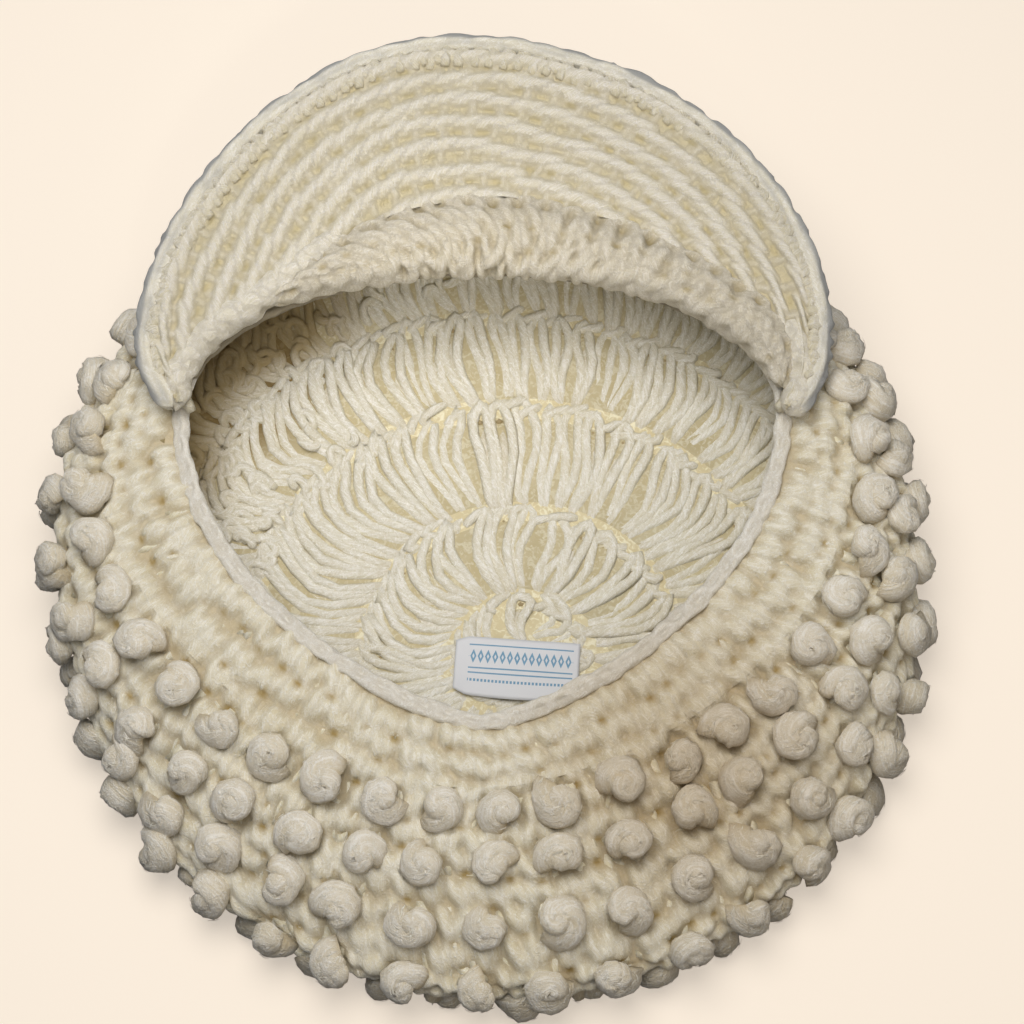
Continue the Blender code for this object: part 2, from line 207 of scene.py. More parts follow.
# along, middle_x, middle_y, half_x, half_front, half_back, roundness, height front, back, left, right
ROUNDS = np.array([
    (0.0, -1.5, 54.0, 95.5, 44.5, 103.0, 0.68, 50.0, 38.0, 44.0, 44.0),
    (18.0, -1.5, 44.0, 112.0, 69.5, 108.5, 0.78, 47.0, 36.0, 42.0, 42.0),
    (36.0, -2.5, 31.0, 126.5, 93.0, 109.5, 0.88, 40.5, 33.0, 36.5, 37.5),
    (53.0, -3.0, 24.0, 136.0, 114.0, 119.0, 0.94, 31.0, 29.5, 28.5, 31.5),
    (71.0, -0.5, 14.0, 139.5, 131.0, 126.5, 0.97, 19.5, 24.0, 18.0, 23.0),
    (89.0, 2.5, 0.0, 137.0, 137.0, 130.0, 1.0, 10.0, 16.5, 10.0, 14.5),
    (107.0, 5.5, -10.0, 128.5, 126.0, 120.0, 1.0, 6.0, 7.5, 6.0, 7.5),
    (130.0, 8.0, -13.0, 108.0, 102.0, 98.0, 1.0, 6.0, 6.0, 6.0, 6.0),
    (158.0, 10.0, -16.0, 79.0, 72.0, 72.0, 1.0, 6.0, 6.0, 6.0, 6.0),
    (186.0, 11.0, -19.0, 49.0, 45.5, 45.5, 1.0, 6.0, 6.0, 6.0, 6.0),
    (214.0, 11.0, -21.0, 21.0, 20.0, 20.0, 1.0, 6.0, 6.0, 6.0, 6.0),
    (230.0, 11.0, -21.5, 6.0, 5.5, 5.5, 1.0, 6.0, 6.0, 6.0, 6.0),
])


def read_table(rows, places):
    """Rows of a table at many places of its first column, on a smooth curve through every other column."""
    keys = rows[:, 0]
    places = np.asarray(places, float)
    low, high = np.maximum(np.arange(len(keys)) - 1, 0), np.minimum(np.arange(len(keys)) + 1, len(keys) - 1)
    slopes = (rows[high] - rows[low]) / (keys[high] - keys[low])[:, None]
    step = np.clip(np.searchsorted(keys, places) - 1, 0, len(keys) - 2)
    span = (keys[step + 1] - keys[step])[..., None]
    share = (places - keys[step])[..., None] / span
    square, cube = share ** 2, share ** 3
    return ((2 * cube - 3 * square + 1) * rows[step] + (cube - 2 * square + share) * slopes[step] * span
            + (3 * square - 2 * cube) * rows[step + 1] + (cube - square) * slopes[step + 1] * span)


def on_round(rows, angles):
    """Points of rounds, at angles of their ovals."""
    _, middle_x, middle_y, half_x, half_front, half_back, roundness, front, back, left, right = np.moveaxis(
        rows, -1, 0)
    across, onward = np.cos(angles), np.sin(angles)
    behind = onward < 0
    width = np.where(behind, np.sign(across) * np.abs(across) ** (1 / roundness), across)
    reach = np.where(behind, half_back, half_front)
    height = ((front + back + left + right) / 4 + (right - left) / 2 * across + (front - back) / 2 * onward
              + (right + left - front - back) / 4 * np.cos(2 * angles))
    return np.stack([middle_x + half_x * width, middle_y + reach * onward, height], -1) - OUTLINE_MIDDLE


print(len(ROUNDS), "rounds, the widest", 2 * ROUNDS[:, 3].max(), "mm across")

# %% [markdown]
# ## A surface that yarn can be laid on
# Every part of the hat is a surface that a crocheter would count in rows and columns. Each one is kept as a
# grid of points with the direction that faces out of the fabric. A strand is then drawn flat, as if on
# squared paper, and laid on the surface by looking up where its points fall. One function does it for the
# bag, the peak, the hem and the edgings, so each stitch is designed once.

# %% Surfaces
# places: what each row of the grid is called. normals: the way out of the fabric at each point.
Surface = namedtuple("Surface", "places points normals closed")
BAG_STEP = 1.5                                      # millimetres between the rows of the bag's grid
BAG_COLUMNS = 361
UP = np.array([0.0, 0.0, 1.0])


def unit(vectors):
    return vectors / np.maximum(np.linalg.norm(vectors, axis=-1, keepdims=True), 1e-12)


def make_surface(places, points, closed, flip=False):
    """Adds the directions that face out of the fabric. A closed surface ends in the column it begins with."""
    down_way = np.gradient(points, axis=0)
    if closed:
        wrapped = np.concatenate([points[:, -2:-1], points, points[:, 1:2]], axis=1)
        round_way = (wrapped[:, 2:] - wrapped[:, :-2]) / 2
    else:
        round_way = np.gradient(points, axis=1)
    normals = unit(np.cross(down_way, round_way)) * (-1.0 if flip else 1.0)
    return Surface(np.asarray(places, float), points, normals, closed)


def on_surface(surface, place, share, height=0.0):
    """Points at a place (in the surface's own measure), a share of the way round and a height above it."""
    place, share, height = np.broadcast_arrays(place, share, height)
    rows, columns = surface.points.shape[:2]
    row = np.interp(place, surface.places, np.arange(rows))
    column = (np.mod(share, 1.0) if surface.closed else np.clip(share, 0.0, 1.0)) * (columns - 1)
    row_low = np.minimum(row.astype(int), rows - 2)
    column_low = np.minimum(column.astype(int), columns - 2)
    down, along = (row - row_low)[..., None], (column - column_low)[..., None]

    def blend(grid):
        near = grid[row_low, column_low] * (1 - along) + grid[row_low, column_low + 1] * along
        far = grid[row_low + 1, column_low] * (1 - along) + grid[row_low + 1, column_low + 1] * along
        return near * (1 - down) + far * down
    normal = unit(blend(surface.normals))
    return blend(surface.points) + normal * height[..., None], normal


def lengths_along(points):
    """Distance of each point from the first, along the line through them."""
    steps = np.linalg.norm(np.diff(points, axis=-2), axis=-1)
    return np.concatenate([np.zeros(steps.shape[:-1] + (1,)), np.cumsum(steps, axis=-1)], axis=-1)


def bag_surface():
    """The outer face of the bag. Its columns are evenly spaced by length, and begin at the back."""
    places = np.arange(0.0, 234.0, BAG_STEP)
    angles = np.linspace(-math.pi / 2, 1.5 * math.pi, BAG_COLUMNS)
    laps = on_round(read_table(ROUNDS, places)[:, None, :], angles)
    even = np.linspace(0.0, 1.0, BAG_COLUMNS)
    points = np.empty_like(laps)
    for index, lap in enumerate(laps):
        length = lengths_along(lap)
        for axis in range(3):
            points[index, :, axis] = np.interp(even, length / length[-1], lap[:, axis])
    return make_surface(places, points, closed=True)


bag = bag_surface()
print("bag surface", bag.points.shape[:2], "points")

# %% [markdown]
# ## Yarn as joined strands
# A stitch is a few short strands of yarn, and the hat has thousands of them. One straight strand is made
# with Blender's cone operator and cut into rings. Its faces are read once, and then every strand of a piece
# is a copy of it, bent along its own line. The copies are joined into one mesh from arrays, which is far
# faster than an object for each strand. Each strand keeps how far along it a point is, for its fibres, a
# depth that sets its painted shade, as it lies deep in the fabric or in shade, which way the fabric faces
# there, and a tone of its own.

# %% The straight strand
Strand = namedtuple("Strand", "ring side reach corners starts around")    # side in turns, reach in radii


def straight_strand(rings, sides, pointed):
    """A closed tube, or a spindle with pointed ends, as arrays: its points first, then its faces."""
    mesh = bmesh.new()
    bmesh.ops.create_cone(mesh, cap_ends=True, segments=sides, radius1=1.0, radius2=1.0, depth=rings - 1)
    lengthwise = [edge for edge in mesh.edges if abs(edge.verts[0].co.z - edge.verts[1].co.z) > 0.5]
    bmesh.ops.subdivide_edges(mesh, edges=lengthwise, cuts=rings - 2, use_grid_fill=True)
    start = min(math.atan2(vertex.co.y, vertex.co.x) % (TAU / sides) for vertex in mesh.verts)
    if pointed:
        for end in (-1, 1):
            cap = [vertex for vertex in mesh.verts if vertex.co.z * end > rings / 2 - 0.6]
            bmesh.ops.pointmerge(mesh, verts=cap, merge_co=Vector((0.0, 0.0, end * (rings - 1) / 2)))
    mesh.verts.index_update()
    ring = [round(vertex.co.z + (rings - 1) / 2) for vertex in mesh.verts]
    turned = [math.atan2(vertex.co.y, vertex.co.x) - start for vertex in mesh.verts]
    side = [round(angle / TAU * sides) % sides for angle in turned]
    reach = [vertex.co.xy.length for vertex in mesh.verts]
    corners, starts, around = [], [], []
    for face in mesh.faces:
        numbers = [vertex.index for vertex in face.verts]
        on_seam = {0, sides - 1} <= {side[n] for n in numbers} and len({ring[n] for n in numbers}) > 1
        starts.append(len(corners))
        corners += numbers
        around += [1.0 if on_seam and side[n] == 0 else side[n] / sides for n in numbers]
    mesh.free()
    return Strand(*map(np.array, (ring, [value / sides for value in side], reach, corners, starts, around)))


print("a strand of 6 rings has", len(straight_strand(6, 6, False).starts), "faces")

# %% Strands along lines
YARN = 2.9                                          # thickness of the yarn
PLY_TWIST = 0.35                                    # radians for each thickness of yarn along a strand
THICKNESS_SPREAD = 0.05                             # how much a strand's thickness varies, as a share
MOST_SHIFT = 40.0                                   # how far along its fibres a strand may begin
Batch = namedtuple("Batch", "strand points facing depth run tone")    # strands of one kind, all bent


def bend_strands(lines, facing, radius, depth=0.0, sides=6, seed=0, taper=0.72, pointed=False, plies=0.0,
                 flat=0.0):
    """Bends a straight strand along each of many lines: strands x points x 3, in millimetres.

    facing: the way that the fabric faces at the same points. plies: how deep its three plies are furrowed.
    flat: how far it is pressed flat on the fabric, from 0 to 1.
    """
    lines = np.asarray(lines, float)
    count, rings = lines.shape[:2]
    strand = straight_strand(rings, sides, pointed)
    random = np.random.default_rng(seed)
    radius = np.broadcast_to(np.asarray(radius, float), (count, rings))
    radius = radius * random.normal(1.0, THICKNESS_SPREAD, (count, rings))
    radius[:, [0, -1]] *= taper
    tangents = unit(np.gradient(lines, axis=1))
    helper = np.where(np.abs(tangents[:, 0, 2:]) < 0.8, [[0.0, 0.0, 1.0]], [[1.0, 0.0, 0.0]])
    side = unit(np.cross(tangents[:, 0], helper))
    sideways, over = np.empty_like(lines), np.empty_like(lines)
    for ring in range(rings):
        tangent = tangents[:, ring]
        side = unit(side - (side * tangent).sum(-1, keepdims=True) * tangent)
        sideways[:, ring], over[:, ring] = side, np.cross(tangent, side)
    angle = (TAU * strand.side)[:, None]
    circle = np.cos(angle) * sideways[:, strand.ring] + np.sin(angle) * over[:, strand.ring]
    facing = np.broadcast_to(facing, lines.shape)
    up = facing[:, strand.ring]
    circle = circle - flat * (circle * up).sum(-1, keepdims=True) * up
    run = lengths_along(lines) / YARN + random.uniform(0.0, MOST_SHIFT, (count, 1))
    furrow = 1.0 + plies * np.cos(3.0 * (angle[:, 0] + PLY_TWIST * run[:, strand.ring]))
    points = lines[:, strand.ring] + circle * (radius[:, strand.ring] * strand.reach * furrow)[..., None]
    depth = np.broadcast_to(np.asarray(depth, float), (count, rings))
    return Batch(strand, points, facing, depth, run, random.uniform(0.0, 1.0, count))


def floats(values):
    return np.asarray(values, np.float32).ravel()


def keep_yarn(data, uv, depth, tone, facing):
    """Keeps on a mesh what its material reads. uv: round the strand and along it, at the faces' corners."""
    data.uv_layers.new(name="strand").data.foreach_set("uv", floats(uv))
    for label, kind, key, values in (("depth", "FLOAT", "value", depth), ("tone", "FLOAT", "value", tone),
                                     ("facing", "FLOAT_VECTOR", "vector", facing)):
        data.attributes.new(label, kind, "POINT").data.foreach_set(key, floats(values))


def join_strands(name, batches):
    """One mesh of all the strands."""
    corners, starts, uv, points, depth, tone, facing = [], [], [], [], [], [], []
    first_point = first_corner = 0
    for batch in batches:
        strand, count = batch.strand, len(batch.points)
        size = len(strand.ring)
        corners.append((strand.corners + (first_point + size * np.arange(count))[:, None]).ravel())
        first_corners = first_corner + len(strand.corners) * np.arange(count)
        starts.append((strand.starts + first_corners[:, None]).ravel())
        run = batch.run[:, strand.ring[strand.corners]]
        uv.append(np.stack([np.broadcast_to(strand.around, run.shape), run], -1).reshape(-1, 2))
        points.append(batch.points.reshape(-1, 3))
        facing.append(batch.facing[:, strand.ring].reshape(-1, 3))
        depth.append(batch.depth[:, strand.ring].ravel())
        tone.append(np.repeat(batch.tone, size))
        first_point += size * count
        first_corner += len(strand.corners) * count
    corners, starts, uv, points, depth, tone, facing = map(
        np.concatenate, (corners, starts, uv, points, depth, tone, facing))
    data = bpy.data.meshes.new(name)
    data.vertices.add(len(points))
    data.vertices.foreach_set("co", floats(points * MM))
    data.loops.add(len(corners))
    data.loops.foreach_set("vertex_index", corners.astype(np.int32))
    data.polygons.add(len(starts))
    data.polygons.foreach_set("loop_start", starts.astype(np.int32))
    data.update(calc_edges=True)
    keep_yarn(data, uv, depth, tone, facing)
    data.shade_smooth()
    data.calc_loop_triangles()
    strands = sum(len(batch.points) for batch in batches)
    print(f"{name}: {strands} strands, {len(data.loop_triangles)} triangles")
    return add_object(name, data)


# %% [markdown]
# ## Hand-made unevenness
# No two stitches of handwork are alike. Strands are shifted by a smooth random wave, so that neighbours
# move together and don't cut through each other, and each stitch gets a little lean and height of its own.
# The seeds are fixed, so the hat comes out the same each time.

# %% Unevenness
WAVES = 6
WAVE_TURN = 1.6                                     # radians that a wave turns over its size
FLAT_SHARE = 0.85                                   # how much of a shift out of the fabric is taken back


def wander(points, size, seed):
    """A smooth random shift for each point, mostly under 1. size: the distance over which it changes."""
    random = np.random.default_rng(seed)
    shift = np.zeros(points.shape)
    for _ in range(WAVES):
        direction = random.normal(size=(3, 3)) * (WAVE_TURN / size)
        shift += np.sin(points @ direction + random.uniform(0.0, TAU, 3))
    return shift / math.sqrt(WAVES)


def drift(points, facing, size, amount, seed):
    """Shifts points by up to about amount, nearly all of it within the fabric."""
    shift = wander(points, size, seed) * amount
    return points + shift - FLAT_SHARE * (shift * facing).sum(-1, keepdims=True) * facing


def smooth_line(knots, count):
    """count points on a smooth curve through a few knots, evenly spread over them."""
    knots = np.asarray(knots, float)
    keyed = np.concatenate([np.arange(len(knots))[:, None], knots], axis=1)
    return read_table(keyed, np.linspace(0.0, len(knots) - 1, count))[:, 1:]


# %% [markdown]
# ## Laying a row of stitches
# A row is a line on a surface, such as one lap of the bag. Its stitches are evenly spaced by length. A
# stitch is a set of strands drawn in a cell: across the cell, up it, and out of the fabric in millimetres.

# %% Rows
Row = namedtuple("Row", "surface place scale share length")
ROW_SAMPLES = 721
WANDER_SEED = 7
SHIFT_SHARE, HEIGHT_SHARE = 0.6, 3.0                # how far a stitch's jitter moves it, and lifts it


def make_row(surface, place, scale=1.0, start=0.0, end=1.0):
    """A line on a surface. place and scale may change along it: scale is the surface's measure for 1 mm."""
    share = np.linspace(start, end, ROW_SAMPLES)
    place, scale = np.broadcast_to(place, share.shape), np.broadcast_to(scale, share.shape)
    return Row(surface, place, scale, share, lengths_along(on_surface(surface, place, share)[0]))


def draw_row(row, knots, columns, pitch, tall, points, jitter=0.05, seed=0, stray=0.0, size=16.0):
    """Draws one strand of a stitch in each cell, as places, shares and heights on the row's surface.

    columns: the cells' middles, in millimetres along the row. stray: how far neighbours move together.
    """
    random = np.random.default_rng(seed)
    columns = np.asarray(columns, float)[:, None]
    across, onward, out = smooth_line(knots, points).T
    count = len(columns)
    lean = random.normal(0.0, jitter, (count, 1))
    across = across * (1 + random.normal(0.0, jitter, (count, 1))) + lean * onward \
        + random.normal(0.0, jitter * SHIFT_SHARE, (count, 1))
    onward = onward + random.normal(0.0, jitter * SHIFT_SHARE, (count, 1))
    out = out + random.normal(0.0, jitter * HEIGHT_SHARE, (count, 1))
    position, onward = columns + across * pitch, onward * tall
    level = np.interp(position, row.length, row.place / row.scale)
    shift = wander(np.stack([position, level + onward, 0.0 * position], -1), size, WANDER_SEED) * stray
    position, onward = position + shift[..., 0], onward + shift[..., 1]
    total = row.length[-1]
    inside = np.mod(position, total) if row.surface.closed and row.share[-1] - row.share[0] == 1.0 \
        else np.clip(position, 0.0, total)
    share = np.interp(inside, row.length, row.share)
    place = np.interp(inside, row.length, row.place) + onward * np.interp(inside, row.length, row.scale)
    return place, share, out


def even_columns(row, pitch, phase=0.0):
    """Middles of cells about one pitch wide that fill the row, and the cell's true width."""
    count = max(int(round(row.length[-1] / pitch)), 1)
    width = row.length[-1] / count
    return (np.arange(count) + 0.5 + phase) * width, width


print("a lap of the lip is", round(float(make_row(bag, 0.0).length[-1])), "mm long")

# %% [markdown]
# ## The yarn's look
# The yarn is a soft acrylic with long brushed fibres. Close up, its surface is fine slanted strokes. Their
# ridges get a painted highlight, and the hollows between strands a painted warm yellow shade, for the light
# that bounces from yarn to yarn. One group works the fibres out from the strand's own UV map: the angle round
# the strand grows along it, so that the strokes wind as a twist does, and the noise is read on a circle, so
# that it closes. Others tell how fluffy yarn shades, with painted shade at its sides and a painted highlight
# on its crest, where it has yellowed, where its fibres curl, where it is darker in a round patch, and where a
# painted deep shade lies.

# %% Node helpers
# scales of noise: larger is finer
AGE_SCALE, PATCHY_SCALE, CLOUD_SCALE, SWIRL_SCALE, FLUFF_SCALE = 22.0, 150.0, 300.0, 420.0, 1100.0
VECTORS = ("UV", "Vector", "Middle", "Normal")      # the groups' sockets that are vectors


def maths(operation, *values):
    """A Math node. Its first input is a socket, and the second is a socket or a number."""
    node = new_node(values[0].id_data, "ShaderNodeMath", dict(enumerate(values)), operation=operation)
    return node.outputs[0]


def weigh(*parts):
    """The sum of masks, each times its weight."""
    first, *others = [mask if weight == 1.0 else maths("MULTIPLY", mask, weight) for mask, weight in parts]
    for other in others:
        first = maths("ADD", first, other)
    return first


def noise(vector, scale, detail, roughness=0.5, distortion=0.0):
    return new_node(vector.id_data, "ShaderNodeTexNoise", {
        "Vector": vector, "Scale": scale, "Detail": detail, "Roughness": roughness,
        "Distortion": distortion}).outputs["Fac"]


def ramp(value, low, high, shape="SMOOTHSTEP"):
    """0 where value is low, and 1 where it is high."""
    return new_node(value.id_data, "ShaderNodeMapRange", {"Value": value, "From Min": low, "From Max": high},
                    interpolation_type=shape).outputs["Result"]


def mix(factor, first, second, blend="MIX"):
    """The first colour where factor is 0, and the second where it is 1."""
    return new_node(factor.id_data, "ShaderNodeMix", {0: factor, 6: first, 7: second}, data_type="RGBA",
                    blend_type=blend).outputs[2]


def bumped(height, strength, distance, **normal):
    return new_node(height.id_data, "ShaderNodeBump", {
        "Height": height, "Strength": strength, "Distance": distance * MM, **normal}).outputs["Normal"]


def new_group(name, inputs, outputs):
    """An empty node group, the sockets that it is given, and its output node."""
    group = bpy.data.node_groups.new(name, "ShaderNodeTree")
    for way, labels in (("INPUT", inputs), ("OUTPUT", outputs)):
        for label in labels.split():
            kind = "NodeSocketVector" if label in VECTORS else "NodeSocketFloat"
            group.interface.new_socket(name=label, in_out=way, socket_type=kind)
    return group, group.nodes.new("NodeGroupInput").outputs, group.nodes.new("NodeGroupOutput")


def use_group(group, tree, inputs):
    return new_node(tree, "ShaderNodeGroup", inputs, node_tree=group).outputs


# %% Node groups
def fibres_group():
    """Height of broad slanted fibre strokes on a strand, with finer ones, and their painted highlight and
    hollow shade.
    """
    group, given, made = new_group("twisted_fibres", "UV Twist Broad Fine", "Height Stroke Hollow")
    split = new_node(group, "ShaderNodeSeparateXYZ", {0: given["UV"]}).outputs
    angle = weigh((split["X"], TAU), (split["Y"], given["Twist"]))
    layers = []
    for label, stretch in (("Broad", 0.6), ("Fine", 1.0)):
        circle = new_node(group, "ShaderNodeCombineXYZ", {
            "X": maths("MULTIPLY", maths("COSINE", angle), given[label]),
            "Y": maths("MULTIPLY", maths("SINE", angle), given[label]),
            "Z": maths("MULTIPLY", split["Y"], stretch)})
        layers.append(noise(circle.outputs[0], 1.0, 1.0, 0.6))
    both = weigh((layers[0], 0.7), (layers[1], 1.0))
    wire(made, {"Height": both, "Stroke": ramp(both, 0.84, 1.05), "Hollow": ramp(both, 0.84, 0.62)})
    return group


def soft_group():
    """How fluffy yarn shades: by a direction between its own and the fabric's, with painted yellow shade at
    its sides and a painted highlight on its crest.
    """
    group, given, made = new_group("fluffy_normal", "Softness", "Normal Side Crest")
    fabric = new_node(group, "ShaderNodeAttribute", attribute_name="facing").outputs["Vector"]
    fabric = new_node(group, "ShaderNodeVectorTransform", {0: fabric}, vector_type="NORMAL",
                      convert_from="OBJECT", convert_to="WORLD").outputs[0]
    own = new_node(group, "ShaderNodeNewGeometry").outputs["Normal"]
    between = new_node(group, "ShaderNodeMix", {0: given["Softness"], 4: own, 5: fabric}, data_type="VECTOR")
    even = new_node(group, "ShaderNodeVectorMath", {0: between.outputs[1]}, operation="NORMALIZE")
    agreed = new_node(group, "ShaderNodeVectorMath", {0: own, 1: fabric}, operation="DOT_PRODUCT")
    agreed = agreed.outputs["Value"]
    wire(made, {"Normal": even.outputs[0], "Side": ramp(agreed, 0.85, -0.1),
                "Crest": ramp(agreed, 0.72, 1.0)})
    return group


def aging_group():
    """Where the yarn has yellowed, from its place on the hat."""
    group, given, made = new_group("aged_yarn", "Vector", "Yellowing")
    wire(made, {"Yellowing": ramp(noise(given["Vector"], AGE_SCALE, 3.0), 0.35, 0.72, "LINEAR")})
    return group


def crimp_group():
    """Thin curling lines, as crimped fibres make on yarn: the level lines of a cloudy noise."""
    group, given, made = new_group("crimped_fibres", "Vector", "Crimp")
    clouds = noise(given["Vector"], CLOUD_SCALE, 1.0, 0.5, 0.8)
    wire(made, {"Crimp": ramp(maths("PINGPONG", maths("MULTIPLY", clouds, 5.0), 0.5), 0.26, 0.44)})
    return group


def patch_group():
    """A round patch on the hat that fades towards its edge."""
    group, given, made = new_group("round_patch", "Vector Middle Reach", "Patch")
    distance = new_node(group, "ShaderNodeVectorMath", {0: given["Vector"], 1: given["Middle"]},
                        operation="DISTANCE")
    wire(made, {"Patch": ramp(distance.outputs["Value"], given["Reach"], 0.0)})
    return group


FIBRES, FLUFFY, AGING = fibres_group(), soft_group(), aging_group()
CRIMPED, PATCH = crimp_group(), patch_group()
# middle and reach in metres, what the colour is multiplied by, and how strongly
DARKER_PATCH = ((0.066, -0.085, 0.036), 0.075, (0.76, 0.69, 0.60), 1.0)    # a round patch on the right, towards the back, where the yarn is darker and warmer
SHADE = ((-0.092, 0.056, 0.016), 0.048, (0.42, 0.34, 0.22), 2.2)    # the deep shade below the peak's left end


def add_patch(colour, place, patch):
    """A colour darkened in a round patch. place: the Object coordinates' socket."""
    middle, reach, tint, strength = patch
    mask = use_group(PATCH, place.id_data, {"Vector": place, "Middle": middle, "Reach": reach})["Patch"]
    if strength > 1.0:
        mask = maths("MINIMUM", maths("MULTIPLY", mask, strength), 1.0)
    return mix(mask, colour, tint, "MULTIPLY")


print("groups:", ", ".join(sorted(group.name for group in bpy.data.node_groups)))

# %% Yarn materials
# twist, broad and fine: how tight the strokes are. bump: their height. soft: how far the yarn shades as the
# fabric does. light: the colour of painted highlights. yellow: of yellowing, and of painted warm shade in
# hollows and at the sides. deep: of painted shade where the yarn lies deep or in the shade of hem and peak.
YarnLook = namedtuple("YarnLook", "light base yellow deep twist broad fine bump soft")
LOOKS = {
    "bobble_yarn": YarnLook((0.96, 0.93, 0.87), (0.74, 0.68, 0.57), (0.68, 0.60, 0.44), (0.52, 0.40, 0.20),
                            0.3, 2.6, 7.0, 0.50, 0.40),
    "plain_yarn": YarnLook((0.97, 0.94, 0.86), (0.77, 0.72, 0.57), (0.70, 0.62, 0.42), (0.42, 0.30, 0.11),
                           0.9, 1.8, 5.0, 0.50, 0.15),
    "lining_yarn": YarnLook((0.94, 0.92, 0.87), (0.70, 0.67, 0.57), (0.62, 0.56, 0.40), (0.30, 0.21, 0.07),
                            0.7, 1.8, 5.0, 0.40, 0.45),
    "peak_yarn": YarnLook((0.93, 0.89, 0.83), (0.72, 0.67, 0.55), (0.69, 0.63, 0.46), (0.58, 0.50, 0.30),
                          1.8, 2.2, 5.0, 0.60, 0.25),
    "hem_yarn": YarnLook((0.90, 0.85, 0.76), (0.65, 0.59, 0.47), (0.61, 0.54, 0.38), (0.46, 0.37, 0.19),
                         1.6, 2.0, 5.0, 0.60, 0.20),
    # the lip's deep colour is nearly black brown: painted shade below the hem
    "lip_yarn": YarnLook((0.95, 0.93, 0.88), (0.76, 0.72, 0.65), (0.68, 0.62, 0.49), (0.16, 0.11, 0.03),
                         1.4, 1.8, 5.0, 0.50, 0.22),
    # the edging's deep colour is grey: painted shade on its outer side
    "edging_yarn": YarnLook((0.97, 0.94, 0.88), (0.77, 0.73, 0.62), (0.72, 0.66, 0.48), (0.36, 0.37, 0.38),
                            1.2, 1.8, 5.0, 0.50, 0.25),
    "shaded_yarn": YarnLook((0.97, 0.95, 0.88), (0.84, 0.80, 0.68), (0.76, 0.70, 0.50), (0.26, 0.18, 0.04),
                            1.0, 1.8, 5.0, 0.30, 0.30),
    "fuzz_yarn": YarnLook((1.0, 0.99, 0.94), (0.86, 0.82, 0.72), (0.80, 0.74, 0.58), (0.70, 0.60, 0.40),
                          1.0, 1.6, 4.5, 0.0, 0.90),
}


def yarn_material(name, look):
    """Strand tones, yellowing, painted yellow shade in hollows and at sides, painted highlights on fibres, and
    painted shade where it lies deep.
    """
    material, tree, shader = new_material(name)
    uv = new_node(tree, "ShaderNodeUVMap", uv_map="strand").outputs[0]
    place = new_node(tree, "ShaderNodeTexCoord").outputs["Object"]
    depth, tone = (new_node(tree, "ShaderNodeAttribute", attribute_name=label).outputs["Fac"]
                   for label in ("depth", "tone"))
    fibres = use_group(FIBRES, tree, {"UV": uv, "Twist": look.twist, "Broad": look.broad, "Fine": look.fine})
    fluffy = use_group(FLUFFY, tree, {"Softness": look.soft})
    aged = use_group(AGING, tree, {"Vector": place})
    fluff = noise(place, FLUFF_SCALE, 2.0, 0.7, 1.5)
    tufts = ramp(fluff, 0.48, 0.68)
    crimp = use_group(CRIMPED, tree, {"Vector": place})["Crimp"]
    crimp = maths("MULTIPLY", crimp, maths("ADD", maths("MULTIPLY", tufts, 0.7), 0.3))
    colour = mix(weigh((aged["Yellowing"], 0.50), (tone, 0.25)), look.base, look.yellow)
    # painted warm shade: the fibres' hollows, the strand's sides and low fluff are mixed towards yellow
    for mask, weight in ((fibres["Hollow"], 0.5), (fluffy["Side"], 0.7), (ramp(fluff, 0.50, 0.34), 0.60)):
        colour = mix(maths("MULTIPLY", mask, weight), colour, look.yellow)
    # painted highlights: the crest, fibre strokes, tufts and crimps are mixed towards the light colour
    lit = weigh((fluffy["Crest"], 0.20), (fibres["Stroke"], 0.45), (tufts, 0.35), (crimp, 0.55))
    # painted shade: the colour goes to the deep colour where a point's depth is high
    colour = mix(depth, mix(lit, colour, look.light), look.deep)
    height = weigh((fibres["Height"], 1.0), (fluff, 1.6), (crimp, 0.8))
    wire(shader, {"Base Color": add_patch(colour, place, DARKER_PATCH),
                  "Normal": bumped(height, look.bump, 0.6, Normal=fluffy["Normal"]),
                  "Roughness": 0.75, "Specular IOR Level": 0.3, "Sheen Weight": 0.10})
    return material


YARNS = {name: yarn_material(name, look) for name, look in LOOKS.items()}
print("yarns:", ", ".join(YARNS))


def dress(piece, material, slot, *nodes):
    """The piece's material, body and the solids that it stands for. slot: not used."""
    piece.data.materials.append(material)
    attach(piece, "root")
    if nodes:
        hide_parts(*nodes)
    return piece


# %% [markdown]
# ## The ground of the fabric
# The yarn is brushed, so its stitches have felted together: between the strands that stand out, their
# fibres are one soft mass. It is a sheet a little below the outer face, yellower and darker than the strands,
# as painted shade where it shows between them. A grid is rolled round the surface, its seam is merged, and
# Solidify gives it its thickness.

# %% Ground sheets
GROUND_THICK = 1.4
GROUND_DEEP = 4.3
GROUND_COLUMNS = 96
LIP_END = 4.0                                       # the headband's ground begins here, below the edging


def felt_material(name, light, base, deep):
    """Short fibres in swirls, over soft patches that are more or less yellow."""
    material, tree, shader = new_material(name)
    place = new_node(tree, "ShaderNodeTexCoord").outputs["Object"]
    swirl = noise(place, SWIRL_SCALE, 3.0, distortion=1.6)
    patches = noise(place, PATCHY_SCALE, 3.0, distortion=0.6)
    colour = mix(ramp(swirl, 0.46, 0.66), mix(patches, deep, base), light)
    wire(shader, {"Base Color": add_patch(colour, place, SHADE), "Normal": bumped(swirl, 0.3, 0.7),
                  "Roughness": 0.85, "Specular IOR Level": 0.2})
    return material


# the lining's felt, inside the crown and under the headband, is darker still: painted shade between strands
GROUND = felt_material("ground_felt", (0.84, 0.79, 0.60), (0.72, 0.65, 0.45), (0.60, 0.50, 0.28))
LINING_GROUND = felt_material("lining_felt", (0.64, 0.59, 0.44), (0.58, 0.52, 0.36), (0.46, 0.38, 0.21))


def thicken(piece, thick, side):
    """side: 0 thickens it to both sides, and 1 outwards."""
    shell = piece.modifiers.new("thickness", "SOLIDIFY")
    shell.thickness, shell.offset = thick * MM, side


